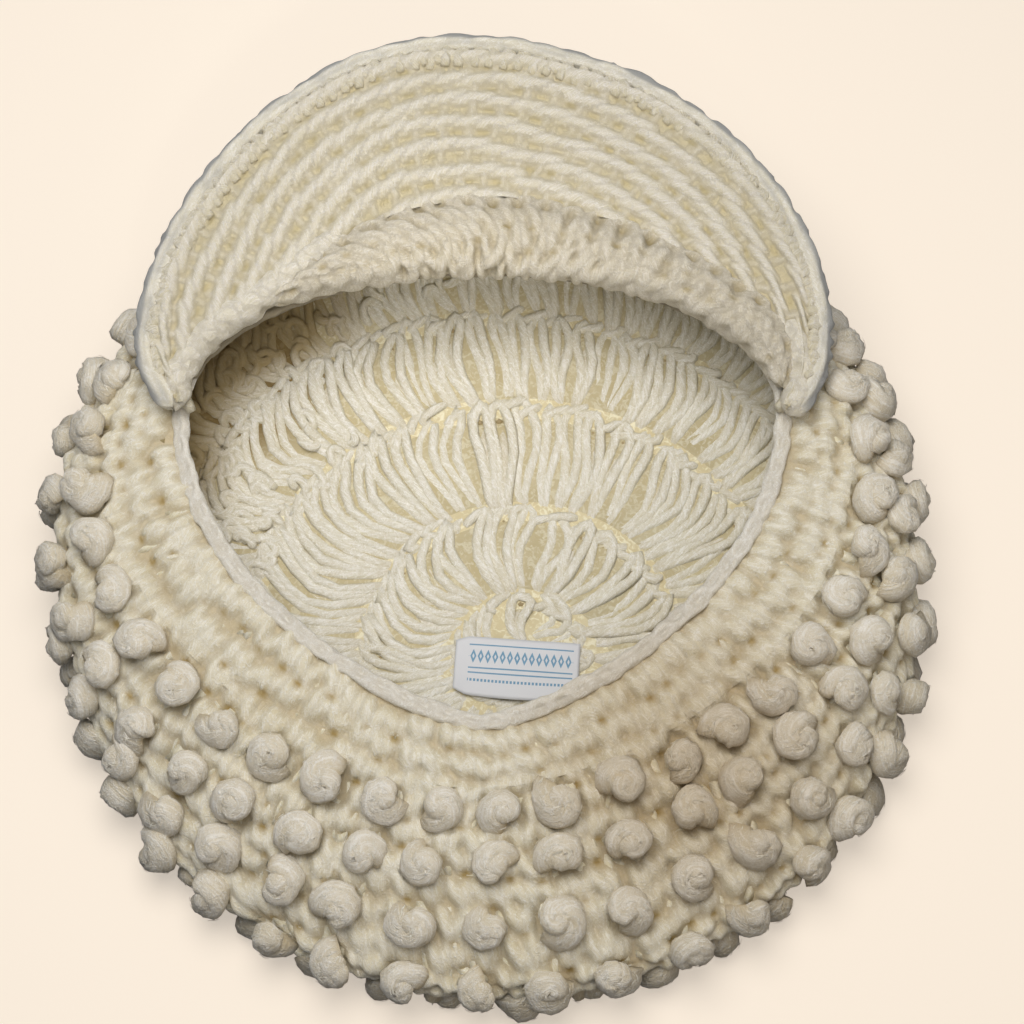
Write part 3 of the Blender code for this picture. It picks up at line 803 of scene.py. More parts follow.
def ground_sheet(name, surface, low, high, rows, columns, depth, thick=GROUND_THICK):
    """A sheet at a depth below a surface, from one place to another."""
    mesh = bmesh.new()
    bmesh.ops.create_grid(mesh, x_segments=columns, y_segments=rows, size=0.5)
    vertices = list(mesh.verts)
    flat = np.array([vertex.co for vertex in vertices]) + 0.5
    points, _ = on_surface(surface, low + (high - low) * flat[:, 1], flat[:, 0] * (1 - 1e-9), -float(depth))
    for vertex, point in zip(vertices, points * MM):
        vertex.co = point
    if surface.closed:
        bmesh.ops.remove_doubles(mesh, verts=mesh.verts, dist=0.02 * MM)
    if high == BAG_END:
        last = Vector(points[-1] * MM)
        bmesh.ops.contextual_create(mesh, geom=[edge for edge in mesh.edges if edge.is_boundary and all(
            (vertex.co - last).length < 20 * MM for vertex in edge.verts)])
    bmesh.ops.recalc_face_normals(mesh, faces=mesh.faces)
    sheet = mesh_object(name, mesh)
    thicken(sheet, thick, 0.0)
    return sheet


# name, from, to, rows, material, slot
for name, low, high, rows, felt, slot in (
        ("crown_ground", BAND_WIDTH + SEAM_GAP, BAG_END, 60, GROUND, "bobble_crochet"),
        ("headband_ground", LIP_END, BAND_WIDTH, 8, LINING_GROUND, "plain_crochet")):
    dress(ground_sheet(name, bag, low, high, rows, GROUND_COLUMNS, GROUND_DEEP), felt, slot)
print("ground sheets for crown and headband")

# %% [markdown]
# ## Felted skins
# Seen from the right side, the stitches of the brushed yarn have grown together. Their strands show as soft
# ridges of one skin, with a painted highlight on top and painted yellow shade between. Such a skin is a fine
# grid over its surface, which is raised wherever a strand lies under it, and then smoothed a little. It takes
# on the strand's own UV, so that its fibres still follow the yarn, and it knows how deep each point lies,
# which sets its painted shade. A hole is a small dent in it, painted dark as shade.

# %% Skins over strands
Stroke = namedtuple("Stroke", "place share out radius")    # strands drawn on a surface, not yet laid
REACH = range(-3, 4)                                # how many points of the grid away a strand is felt
HOLE_REACH, HOLE_STEEP = 1.6, 1.8                   # how wide a hole's dent is, in its radii, and how steep
CREST_PERCENT = 80                                  # the height that most of a skin stays below
LOW_CURVE, HOLE_DEPTH = 1.3, 0.8                    # how painted shade grows between strands and in holes
CORD_SINK = 0.8                                     # the deepest that a skin lies in a cord, in its radii


def grid_mesh(rows, columns, closed):
    """A grid of faces, rolled into a tube if it is closed. Its attribute spot numbers its points."""
    mesh = bmesh.new()
    steps = columns if closed else columns - 1
    bmesh.ops.create_grid(mesh, x_segments=steps, y_segments=rows - 1, size=0.5)
    spot = mesh.verts.layers.int.new("spot")
    for vertex in mesh.verts:
        column, row = round((vertex.co.x + 0.5) * steps), round((vertex.co.y + 0.5) * (rows - 1))
        vertex[spot] = row * columns + column % columns
        if closed:
            angle = TAU * column / columns
            vertex.co = (math.cos(angle), math.sin(angle), row / rows)
    if closed:
        bmesh.ops.remove_doubles(mesh, verts=mesh.verts, dist=0.0001)
    return mesh


def soften(values, closed):
    """Each value with some of its neighbours'."""
    values = np.pad(values, ((1, 1), (0, 0)), mode="edge")
    values = (values[:-2] + 2 * values[1:-1] + values[2:]) / 4
    values = np.pad(values, ((0, 0), (1, 1)), mode="wrap" if closed else "edge")
    return (values[:, :-2] + 2 * values[:, 1:-1] + values[:, 2:]) / 4


def press_strokes(surface, span, flat, strokes, holes, floor, seed):
    """What strokes and holes leave on a grid: its height, UV and tone, and how far it is a hole."""
    random = np.random.default_rng(seed)
    (rows, columns), (low, high), closed = flat.shape[:2], span, surface.closed
    flat = flat.reshape(-1, 3)
    found, pit = [], np.zeros(rows * columns)
    for number, stroke in enumerate(strokes + holes):
        base, normal = on_surface(surface, stroke.place, stroke.share)
        along = unit(np.gradient(base, axis=1))
        aside = np.cross(along, normal)
        run = lengths_along(base) / YARN + random.uniform(0.0, MOST_SHIFT, (len(base), 1))
        tone = np.broadcast_to(random.uniform(0.0, 1.0, (len(base), 1)), run.shape)
        row = np.rint((stroke.place - low) / (high - low) * (rows - 1)).astype(int)
        turn = np.mod(stroke.share, 1.0) * columns if closed else stroke.share * (columns - 1)
        column = np.rint(turn).astype(int)
        for to_row, to_column in ((row + down, column + right) for down in REACH for right in REACH):
            if closed:
                to_column = to_column % columns
            good = (to_row >= 0) & (to_row < rows) & (to_column >= 0) & (to_column < columns)
            spot = np.clip(to_row, 0, rows - 1) * columns + np.clip(to_column, 0, columns - 1)
            offset = flat[spot] - base
            near = np.linalg.norm(offset, axis=-1) / stroke.radius
            if number >= len(strokes):
                good &= near < HOLE_REACH
                np.maximum.at(pit, spot[good], (tone * np.exp(-HOLE_STEEP * near ** 2))[good])
                continue
            height = stroke.out + stroke.radius * np.sqrt(np.maximum(1.0 - near ** 2, 0.0))
            good &= (near < 1.0) & (height > floor)
            beside = (offset * aside).sum(-1) / stroke.radius / 4
            ahead = run + (offset * along).sum(-1) / YARN
            found.append(np.stack([spot, height, beside, ahead, tone])[:, good])
    found = np.concatenate(found, axis=1)
    found = found[:, np.argsort(found[1], kind="stable")]
    grids = np.repeat(np.array([[floor], [0.0], [0.0], [0.5]], float), rows * columns, axis=1)
    for grid, values in zip(grids, found[1:]):
        grid[found[0].astype(int)] = values
    return (*grids, pit)


def felted_skin(name, surface, span, rows, columns, strokes, holes, floor, dent=2.0, seed=0, crest=None,
                tint=None, deep=0.60, tube=False):
    """A skin over strands, with holes. span: where on the surface. floor: its height between the strands.

    tint: gives a depth for its points, where painted shade colours them as if they lay deep. deep: how
    strongly its low parts get painted shade.
    tube: the surface is a cord, which the skin must not sink through.
    """
    closed = surface.closed
    share = np.arange(columns) / columns if closed else np.linspace(0.0, 1.0, columns)
    place, share = np.meshgrid(np.linspace(*span, rows), share, indexing="ij")
    flat, facing = on_surface(surface, place, share)
    level, beside, ahead, tone, pit = press_strokes(surface, span, flat, strokes, holes, floor, seed)
    pit = pit.reshape(rows, columns)
    level = soften(level.reshape(rows, columns) - dent * pit, closed)
    if tube:
        level = np.maximum(level, -CORD_SINK * np.linalg.norm(flat - flat.mean(axis=0), axis=-1))
    crest = np.percentile(level, CREST_PERCENT) if crest is None else crest
    # painted shade: points below the crest and in holes get the yarn's deep colour
    sunk = np.clip((crest - level) / (crest - floor), 0.0, 1.0)
    depth = np.clip(deep * sunk ** LOW_CURVE + HOLE_DEPTH * pit, 0.0, 1.0).ravel()
    facing = facing.reshape(-1, 3)
    points = flat.reshape(-1, 3) + facing * level.reshape(-1, 1)
    if tint is not None:
        depth = np.maximum(depth, tint(points, facing))

    skin = mesh_object(name, grid_mesh(rows, columns, closed))
    data = skin.data
    spots, corners = np.zeros(len(data.vertices), np.int32), np.zeros(len(data.loops), np.int32)
    data.attributes["spot"].data.foreach_get("value", spots)
    data.loops.foreach_get("vertex_index", corners)
    data.vertices.foreach_set("co", floats(points[spots] * MM))
    corners = spots[corners]
    keep_yarn(data, np.stack([beside[corners], ahead[corners]], -1), depth[spots], tone[spots], facing[spots])
    data.update()
    first = data.polygons[len(data.polygons) // 2]
    if np.dot(first.normal, facing[spots[first.vertices[0]]]) < 0:
        data.flip_normals()
    print(f"{name}: {2 * len(data.polygons)} triangles")
    return skin


# %% [markdown]
# ## Single crochet
# The underside of the tam is single crochet. From the right side each stitch is a V: two legs rise out of
# one small hole, and the loops on top of the row lie behind the legs of the next. The left leg shows most,
# as a slanted stroke. The holes are what gives the fabric its grain, so the legs are drawn to leave one
# open.

# %% The stitch
# across the cell, up the cell, out of the fabric in millimetres
LEFT_LEG = [(0.04, -0.62, -3.0), (-0.07, -0.38, -1.7), (-0.20, -0.05, -0.9), (-0.28, 0.24, -1.3),
            (-0.32, 0.50, -3.0)]
RIGHT_LEG = [(0.18, -0.62, -3.2), (0.18, -0.36, -2.3), (0.25, -0.04, -1.7), (0.30, 0.24, -2.0),
             (0.28, 0.46, -3.2)]
HOLLOW = [(0.02, -0.55, 0.0), (0.07, -0.52, 0.0), (0.12, -0.55, 0.0)]
LEG_POINTS = 12
LEG_RADIUS = np.interp(np.linspace(0.0, 1.0, LEG_POINTS), [0.0, 0.25, 0.55, 0.8, 1.0],
                       [1.3, 2.0, 2.35, 2.0, 1.4])
HOLLOW_RADIUS = 1.5
STITCH_PITCH = 8.0
ROW_TALL = 8.75


def single_crochet(surface, places, pitch, tall, seed, keep=None, points=LEG_POINTS):
    """Rows of stitches: strokes for the legs, and the holes between them. keep: which cells get a stitch."""
    legs, holes = [], []
    for number, place in enumerate(places):
        row = make_row(surface, place)
        columns, width = even_columns(row, pitch, phase=0.5 * (number % 2))
        if keep is not None:
            columns = columns[keep(place, np.interp(np.mod(columns, row.length[-1]), row.length, row.share))]
        for knots, count, radius, made in ((LEFT_LEG, points, LEG_RADIUS, legs),
                                           (RIGHT_LEG, points, LEG_RADIUS, legs),
                                           (HOLLOW, 3, HOLLOW_RADIUS, holes)):
            made.append(Stroke(*draw_row(row, knots, columns, width, -tall, count, jitter=0.16,
                                         seed=seed * 100 + number, stray=1.5), radius))
    return legs, holes


BAND_PLACES = [9.9, 18.6, 27.3]
band_legs, band_holes = single_crochet(bag, BAND_PLACES, STITCH_PITCH, ROW_TALL, seed=1)
print(len(band_legs), "rows of legs on the headband")

# %% [markdown]
# ## Bobbles and the crochet between them
# Each round of the underside has nearly forty bobbles, with plain rows between. The places come from the
# same short table as the solids. Where a bobble stands, the stitches under it are left out.

# %% Rounds of bobbles
BobbleRound = namedtuple("BobbleRound", "along count turn")
BOBBLE_ROUNDS = [BobbleRound(*row) for row in (
    (36.0, 38, 0.42), (53.0, 38, 0.30), (71.0, 38, 0.03), (89.0, 38, -0.22), (108.0, 36, 0.2),
    (130.0, 29, 0.5), (158.0, 21, 0.0), (186.0, 13, 0.5), (214.0, 6, 0.0))]
SEEN_ROUNDS = 5                                     # so many of them are seen from above
UNDERSIDE_PLACES = [36.0 + ROW_TALL * step for step in range(9)]
UNDERSIDE_END = 117.0
BOBBLE_CLEAR = 4.6                                  # no stitch has its middle nearer to a bobble's


def clear_of_bobbles(place, share):
    """True for the cells whose middle no bobble covers."""
    points, _ = on_surface(bag, place, share)
    open_cells = np.ones(share.shape, bool)
    for row in BOBBLE_ROUNDS:
        middles, _ = on_surface(bag, row.along, (np.arange(row.count) + row.turn) / row.count)
        open_cells &= np.linalg.norm(points[:, None] - middles[None], axis=-1).min(axis=1) > BOBBLE_CLEAR
    return open_cells


under_legs, under_holes = single_crochet(bag, UNDERSIDE_PLACES, STITCH_PITCH, ROW_TALL, seed=2,
                                         keep=clear_of_bobbles)
all_legs, all_holes = band_legs + under_legs, band_holes + under_holes
# name, from, to, rows and columns of the skin, slot, node
for name, low, high, rows, columns, slot, node in (
        ("headband_stitches", 3.6, BAND_WIDTH + 0.5, 23, 560, "plain_crochet", "headband"),
        ("underside_stitches", BAND_WIDTH, UNDERSIDE_END, 82, 780, "bobble_crochet", "crown")):
    skin = felted_skin(name, bag, (low, high), rows, columns, all_legs, all_holes, -2.6, crest=0.4)
    dress(skin, YARNS["plain_yarn"], slot, node)

# %% [markdown]
# Not all of the yarn has felted. A thinner strand of each leg still lies free on the skin and catches the
# light.

# %% Free strands on the skin
FREE_PART = [2, 3, 5, 6, 8, 9]                      # points of a leg
FREE_RISE = np.array([0.3, 1.1, 1.3, 1.3, 1.0, 0.2])
FREE_RADIUS = 0.95


def free_strands(name, low, high, slot):
    """A strand on each leg whose middle lies between two places of the bag."""
    batches = []
    for number, leg in enumerate(all_legs):
        lines, facing = on_surface(bag, leg.place[:, FREE_PART], leg.share[:, FREE_PART],
                                   leg.out[:, FREE_PART] + FREE_RISE)
        kept = (leg.place.mean(axis=1) > low) & (leg.place.mean(axis=1) < high)
        if kept.any():
            batches.append(bend_strands(lines[kept], facing[kept], FREE_RADIUS, sides=5, seed=300 + number,
                                        flat=0.3))
    dress(join_strands(name, batches), YARNS["plain_yarn"], slot)


free_strands("headband_strands", 3.0, BAND_WIDTH, "plain_crochet")
free_strands("underside_strands", BAND_WIDTH, UNDERSIDE_END, "bobble_crochet")

# %% [markdown]
# ## The bobbles
# A bobble is a fat curl: a rope of yarn as thick as three that rises out of the fabric, turns over once and
# tucks its tip into its own middle. The rope's line is a short spiral. Its plies leave shallow furrows that
# follow the curl. A few curls that differ in turn and size are shuffled over the hat, each turned its own
# way.

# %% Curls
Curl = namedtuple("Curl", "turn radius shrink rise lean")
CURLS = [Curl(400.0, 4.7, 0.90, 4.6, 0.06), Curl(340.0, 4.5, 0.86, 4.4, -0.08),
         Curl(310.0, 4.8, 0.80, 4.2, 0.10), Curl(430.0, 4.6, 0.92, 4.9, 0.0),
         Curl(280.0, 4.9, 0.72, 4.0, -0.06)]
CURL_ROPE = 4.25                                    # radius of the rope
CURL_FURROW = 0.13
CURL_SINK = -0.4                                    # height of the curl's foot
CORE_TALL, CORE_RADIUS = 8.0, [3.0, 3.9, 4.2, 4.0, 3.3, 1.8]


def curl_line(curl, rings):
    """Middle line and radius of one curl, in millimetres: two directions in the fabric and one out of it."""
    share = np.linspace(0.0, 1.0, rings)
    angle = np.radians(curl.turn) * share
    reach = curl.radius * (1 - curl.shrink * share ** 1.3)
    rise = np.interp(share, [0.0, 0.15, 0.5, 0.85, 1.0], [0.02, 0.45, 0.75, 1.0, 0.95]) * curl.rise
    line = np.stack([reach * np.cos(angle), reach * np.sin(angle), rise], -1)
    line[:, 0] += curl.lean * rise
    thick = np.interp(share, [0.0, 0.12, 0.6, 0.88, 0.96, 1.0], [0.85, 1.0, 0.98, 0.86, 0.62, 0.35])
    return line, CURL_ROPE * thick


def bobble_spots(rounds, random):
    """Where the bobbles stand, which way each faces, and which way lies onward along the fabric."""
    rows = []
    for row in rounds:
        share = (np.arange(row.count) + row.turn) / row.count
        place = np.full(row.count, row.along) + random.normal(0.0, 0.5, row.count)
        share = share + random.normal(0.0, 0.03, row.count) / row.count
        middle, normal = on_surface(bag, place, share, CURL_SINK)
        onward, _ = on_surface(bag, place + 1.0, share, CURL_SINK)
        rows.append((middle, normal, unit(onward - middle)))
    return map(np.concatenate, zip(*rows))


def bobble_batches(rounds, rings, sides, seed):
    """A shuffled curl at each place of the rounds, pressed flat where it would sink below the floor."""
    random = np.random.default_rng(seed)
    batches = []
    spots, facing, way = bobble_spots(rounds, random)
    facing = unit(facing + way * random.normal(0.05, 0.10, (len(spots), 1)))
    across = unit(np.cross(way, facing))
    way = np.cross(facing, across)
    turn = random.uniform(0.0, TAU, len(spots))[:, None]
    first = across * np.cos(turn) + way * np.sin(turn)
    second = (way * np.cos(turn) - across * np.sin(turn)) * random.choice([-1.0, 1.0], (len(spots), 1))
    size = random.normal(1.0, 0.05, (len(spots), 1))
    kind = random.integers(0, len(CURLS), len(spots))
    for number, curl in enumerate(CURLS):
        chosen = kind == number
        line, radius = curl_line(curl, rings)
        bent = (spots[chosen, None]
                + size[chosen, None] * (line[None, :, 0:1] * first[chosen, None]
                                        + line[None, :, 1:2] * second[chosen, None]
                                        + line[None, :, 2:3] * facing[chosen, None]))
        bent += wander(bent, 9.0, seed) * 0.4
        # painted shade at the curl's foot, where it meets the fabric
        foot_shade = np.clip(0.5 - line[:, 2] / 3.0, 0.0, 0.5)
        batches.append(bend_strands(bent, unit(bent - spots[chosen, None] + 2.0 * facing[chosen, None]),
                                    radius * size[chosen], depth=foot_shade, sides=sides, seed=seed * 50 + number,
                                    taper=1.0, plies=CURL_FURROW))
    tall = np.linspace(0.0, CORE_TALL, len(CORE_RADIUS))[:, None]
    core = spots[:, None] + facing[:, None] * (tall * size[:, None])
    batches.append(bend_strands(core, facing[:, None], CORE_RADIUS, sides=10, seed=seed))
    return rest_on_floor(batches)


def rest_on_floor(batches):
    """Presses what would sink below the floor flat on it."""
    for batch in batches:
        np.maximum(batch.points[..., 2], 0.05, out=batch.points[..., 2])
    return batches


seen_bobbles = bobble_batches(BOBBLE_ROUNDS[:SEEN_ROUNDS], rings=22, sides=12, seed=5)
dress(join_strands("underside_bobbles", seen_bobbles), YARNS["bobble_yarn"], "bobble_crochet")
hidden_bobbles = bobble_batches(BOBBLE_ROUNDS[SEEN_ROUNDS:], rings=15, sides=9, seed=6)
dress(join_strands("crown_bobbles", hidden_bobbles), YARNS["bobble_yarn"], "bobble_crochet")

# %% [markdown]
# ## The top of the crown, right side
# Over the crown the rounds are tall. From one ring of bobbles to the next run long posts, side by side,
# each a pair of strands. It is the side that the hat lies on.

# %% Long posts on the right side
POST_RINGS = [114.0, 130.0, 158.0, 186.0, 214.0, 230.0]
POST_PITCH = 7.0
POST_RADIUS = YARN / 2 * 1.15


def long_posts(seed):
    batches = []
    for number, (low, high) in enumerate(zip(POST_RINGS, POST_RINGS[1:])):
        row = make_row(bag, (low + high) / 2)
        columns, width = even_columns(row, POST_PITCH)
        for side in (-0.24, 0.24):
            knots = [(side * 0.5, -0.54, -2.2), (side, -0.25, 0.0), (side * 1.1, 0.25, 0.0),
                     (side * 0.7, 0.54, -2.2)]
            lines, facing = on_surface(bag, *draw_row(row, knots, columns, width, high - low, 5, jitter=0.03,
                                                      seed=seed + number))
            batches.append(bend_strands(lines, facing, POST_RADIUS, depth=0.1, sides=5, seed=seed + number))
    return rest_on_floor(batches)


dress(join_strands("crown_posts", long_posts(30)), YARNS["plain_yarn"], "bobble_crochet")

# %% [markdown]
# ## Inside the crown
# Through the opening shows the wrong side of the crown: rings of long loops, each a strand that runs out,
# arches over and runs back. Between the rings lies a ridge of short slanted strokes. The rings swell
# between their ridges, and on the left the loops lean over, because the hat was laid down with a twist.

# %% The lining's surface
Ring = namedtuple("Ring", "low high pitch")         # places along the fabric
LOOP_RINGS = [Ring(96.0, 121.0, 6.8), Ring(121.0, 149.5, 6.6), Ring(149.5, 184.5, 6.5),
              Ring(184.5, 215.0, 6.3), Ring(215.0, 233.0, 6.5)]
LABEL_MIDDLE = np.array([10.1, -48.45])
SWELL = 2.8


def open_floor(points):
    """0 below the label and 1 away from it: how much the lining may swell."""
    distance = np.linalg.norm((points[..., :2] - LABEL_MIDDLE) / np.array([25.0, 15.0]), axis=-1)
    return np.clip((distance - 0.95) * 1.2, 0.0, 1.0)


def lining_surface():
    """The inner face of the crown. It faces inwards, and swells between the ridges."""
    flat = bag.points - bag.normals * WALL
    swell = sum(np.sin(np.pi * np.clip((bag.places - ring.low) / (ring.high - ring.low), 0.0, 1.0))
                for ring in LOOP_RINGS) * SWELL
    points = flat - bag.normals * (swell[:, None] * open_floor(flat))[..., None]
    return Surface(bag.places, points, -bag.normals, True)


lining = lining_surface()
dress(ground_sheet("lining_ground", lining, 92.0, BAG_END, 70, 110, 1.6), LINING_GROUND, "bobble_crochet")
print("lining swells by up to", SWELL, "mm")

# %% Loops of the lining
# where on the lap the loops lean over, how far on both sides of that, and by how many stitches
LEANS = [(0.66, 0.12, 1.6), (0.35, 0.10, -0.7)]
LOOP_RADIUS = 1.8
RIDGE_RADIUS = LOOP_RADIUS * 0.9
# across, towards the crown's middle, height over the inner face
LOOP = [(-0.03, 0.54, -1.6), (-0.13, 0.40, -0.1), (-0.25, 0.10, 0.6), (-0.33, -0.20, 1.0),
        (-0.28, -0.42, 1.1), (0.0, -0.53, 0.9), (0.28, -0.42, 0.8), (0.33, -0.20, 0.5),
        (0.24, 0.10, 0.2), (0.12, 0.40, -0.3), (0.05, 0.54, -1.6)]
# the loop's hole: a short strand painted dark as the shade in it
LOOP_HOLE = [(-0.08, -0.35, -0.6), (0.0, -0.36, -0.1), (0.08, -0.35, -0.6)]
FILLING = [(0.02, 0.50, -2.0), (0.0, 0.25, -1.0), (0.03, -0.05, -0.7), (0.0, -0.34, -1.8)]
RIDGE = [(-0.60, -0.5, -1.2), (-0.28, -0.22, 0.9), (0.25, 0.25, 1.1), (0.60, 0.5, -1.0)]
LOOP_POINTS = 17
LOOP_FOOT_SHADE = np.interp(smooth_line(LOOP, LOOP_POINTS)[:, 1], [0.30, 0.55], [0.0, 0.35])
# knots, points, radius, depth, sides and what is added to the seed. depth is painted shade: at a loop's feet,
# and dark on the short strand in its hole
LOOP_PARTS = [(LOOP, LOOP_POINTS, LOOP_RADIUS, LOOP_FOOT_SHADE, 6, 31), (FILLING, 6, LOOP_RADIUS, 0.2, 5, 71),
              (LOOP_HOLE, 3, 1.1, 0.85, 5, 81)]
RIDGE_HALF = 2.2
LIP_X, LIP_Y = -1.1, 32.0                           # the middle of the opening, from the origin
LIP_HALF, LIP_FRONT, LIP_BACK = ROUNDS[0, 3:6]
# where the shade begins and where it is full: out from the middle, to the left, and forwards
SHADE_OUT, SHADE_LEFT, SHADE_FORWARD, SHADE_MOST = (0.86, 1.0), (-36.0, -58.0), (-30.0, -10.0), 0.85


def lean_at(share):
    return sum(most * np.exp(-((share - middle) / reach) ** 2) for middle, reach, most in LEANS)


def lay_loops(knots, ring, points, seed, radius=LOOP_RADIUS):
    """A ring of loops on the lining."""
    random = np.random.default_rng(seed)
    row = make_row(lining, (ring.low + ring.high) / 2)
    columns, width = even_columns(row, ring.pitch)
    count, cell = len(columns), width / row.length[-1]
    share = (columns / row.length[-1])[:, None]
    across, onward, over = smooth_line(knots, points).T
    middle = np.cos(np.pi * np.clip(onward, -0.5, 0.5))
    bend = lean_at(share) + random.normal(0.0, 0.14, (count, 1))
    wave = 0.16 * np.sin(TAU * (onward * 1.1 + random.uniform(0.0, 1.0, (count, 1))))
    across = across * random.normal(1.0, 0.14, (count, 1)) + bend * middle + wave + random.normal(
        0.0, 0.07, (count, 1))
    place = (ring.low + ring.high) / 2 + onward * (ring.high - ring.low) + random.normal(0.0, 0.8, (count, 1))
    height = over - radius + 0.2 + random.normal(0.0, 0.35, (count, 1))
    lines, facing = on_surface(lining, place, share + across * cell, height)
    return drift(lines, facing, 18.0, 1.1, seed), facing


def between(values, none, full):
    """0 where values are at none or beyond, and 1 where they are at full or beyond."""
    return np.clip((values - none) / (full - none), 0.0, 1.0)


def shaded(depth, points):
    """A depth, or more where points lie in the deep shade below the peak's left end."""
    across, onward = points[..., 0] - LIP_X, points[..., 1] - LIP_Y
    from_middle = np.hypot(across / LIP_HALF, onward / np.where(onward > 0.0, LIP_FRONT, LIP_BACK))
    shade = between(from_middle, *SHADE_OUT) * between(across, *SHADE_LEFT) * between(onward, *SHADE_FORWARD)
    return np.maximum(depth, SHADE_MOST * shade)


def lining_loops(seed):
    batches = []
    for number, ring in enumerate(LOOP_RINGS):
        for knots, points, radius, depth, sides, more in LOOP_PARTS:
            lines, facing = lay_loops(knots, ring, points, seed + number)
            batches.append(bend_strands(lines, facing, radius, depth=shaded(depth, lines), sides=sides,
                                        seed=seed + more + number))
    return batches


def lining_ridges(seed):
    """Short slanted strokes that cross the feet of the loops."""
    batches = []
    for number, ring in enumerate(LOOP_RINGS):
        belt = Ring(ring.low - RIDGE_HALF, ring.low + RIDGE_HALF, ring.pitch)
        lines, facing = lay_loops(RIDGE, belt, 7, seed + number, radius=RIDGE_RADIUS)
        batches.append(bend_strands(lines, facing, RIDGE_RADIUS, depth=shaded(0.05, lines),
                                    seed=seed + number))
    return batches


Tangle = namedtuple("Tangle", "share reach low high count")
TANGLES = [Tangle(0.70, 0.05, 97.0, 150.0, 120), Tangle(0.60, 0.05, 97.0, 120.0, 30),
           Tangle(0.27, 0.05, 97.0, 150.0, 60)]
TANGLE_POINTS = 11


def tangled_loops(seed):
    """Small loops that have slipped out of line, on the two sides of the lining."""
    random = np.random.default_rng(seed)
    lap = make_row(lining, 120.0).length[-1]
    along = np.linspace(0.0, 1.0, TANGLE_POINTS)
    batches = []
    for tangle in TANGLES:
        shape = (tangle.count, 1)
        place = random.uniform(tangle.low, tangle.high, shape)
        share = tangle.share + random.normal(0.0, tangle.reach, shape)
        start, size = random.uniform(0.0, TAU, shape), random.uniform(1.8, 3.4, shape)
        angle = start + along * random.uniform(2.6, 4.8, shape)
        rise = np.sin(np.linspace(0.0, math.pi, TANGLE_POINTS)) * 1.6 - 1.4
        lines, facing = on_surface(lining, place + size * 1.3 * np.sin(angle),
                                   share + size * np.cos(angle) / lap, rise)
        batches.append(bend_strands(lines, facing, RIDGE_RADIUS, depth=shaded(0.0, lines), seed=seed))
    return batches


for name, strands in (("lining_loops", lining_loops(70) + tangled_loops(77)),
                      ("lining_ridges", lining_ridges(90))):
    dress(join_strands(name, strands), YARNS["lining_yarn"], "bobble_crochet")

# %% [markdown]
# ## The wrong side of the underside and headband
# Towards the rim and under the headband the wrong side of single crochet shows from low angles. It is the
# same stitch, laid on the inner face with fewer rings.

# %% Wrong side of the single crochet
# name, places of its rows, width and height of a stitch, radius of the yarn, seed, slot
WRONG_SIDES = [
    ("underside_lining", [36.0 + 12.0 * step for step in range(5)], 11.0, 12.0, 2.8, 12, "bobble_crochet"),
    ("headband_lining", [10.5, 19.5], 9.0, 9.0, 2.2, 13, "plain_crochet"),
]


# where painted shade on the inner face begins and where it is darkest: to the left, and forwards
DARK_LEFT, DARK_FORWARD, DARK_MOST = (-40.0, -70.0), (-10.0, 20.0), 0.75


def wrong_side(places, pitch, tall, radius, seed):
    """Strands on the inner face, with painted shade at the front on the left."""
    batches = []
    for number, stroke in enumerate(single_crochet(bag, places, pitch, tall, seed, points=4)[0]):
        lines, facing = on_surface(bag, stroke.place, stroke.share, -(WALL + 0.5 * stroke.out + 0.2))
        middle = lines.mean(axis=1)
        shade = between(middle[:, 0], *DARK_LEFT) * between(middle[:, 1], *DARK_FORWARD)
        batches.append(bend_strands(lines, -facing, radius, depth=DARK_MOST * shade[:, None], sides=5,
                                    seed=seed + number))
    return batches


for name, *settings, slot in WRONG_SIDES:
    dress(join_strands(name, wrong_side(*settings)), YARNS["shaded_yarn"], slot)

# %% [markdown]
# ## Edging chains
# A chain of slip stitches runs round the opening, and a thicker one round the peak. A chain looks like a
# braid: each link is a pair of strands that leave a point, part, and close over the start of the next link.
# The chain is drawn on the wall of a round cord, which is also its ground. The lip is dark below the hem,
# in its shade.

# %% The chain round the lip
CORD_COLUMNS = 721
CORD_ROWS = 25
LIP_EDGING_RADIUS = 2.7
LIP_SHADE, LIP_SHADE_MOST = (1.0, 9.0), 0.75        # degrees round the peak's middle where the shade begins
PEAK_MIDDLE = np.array([-1.0, 62.0, 0.0]) - OUTLINE_MIDDLE
CHAIN_SIDES = [[(-0.60, 0.02 * side, -2.6), (-0.32, 0.32 * side, -1.3), (0.12, 0.46 * side, -0.8),
                (0.46, 0.30 * side, -1.1), (0.72, 0.04 * side, -2.6)] for side in (-1.0, 1.0)]


def round_ends(points, reach):
    """Draws the two ends of a tube in to round tips. points: rows round the tube, columns along it."""
    middle = points.mean(axis=0)
    along = lengths_along(middle)
    left = np.clip(np.minimum(along, along[-1] - along) / reach, 0.0, 1.0)
    return middle + (points - middle) * np.sqrt(np.maximum(1 - (1 - left) ** 2, 0.001))[:, None]


def cord_surface(middles, radius, outward, closed):
    """The wall of a cord. Row 0 is the side that faces as outward does, and the rows go round the cord."""
    tangent = unit(np.gradient(middles, axis=0))
    if closed:
        tangent[[0, -1]] = unit(middles[1] - middles[-2])
    outward = unit(outward - (outward * tangent).sum(-1, keepdims=True) * tangent)
    over = np.cross(tangent, outward)
    angles = np.linspace(-math.pi, math.pi, CORD_ROWS)
    points = np.stack([middles + (outward * np.cos(angle) + over * np.sin(angle)) * radius
                       for angle in angles])
    if not closed:
        points = round_ends(points, 1.6 * radius)
    return make_surface(angles * radius, points, closed)


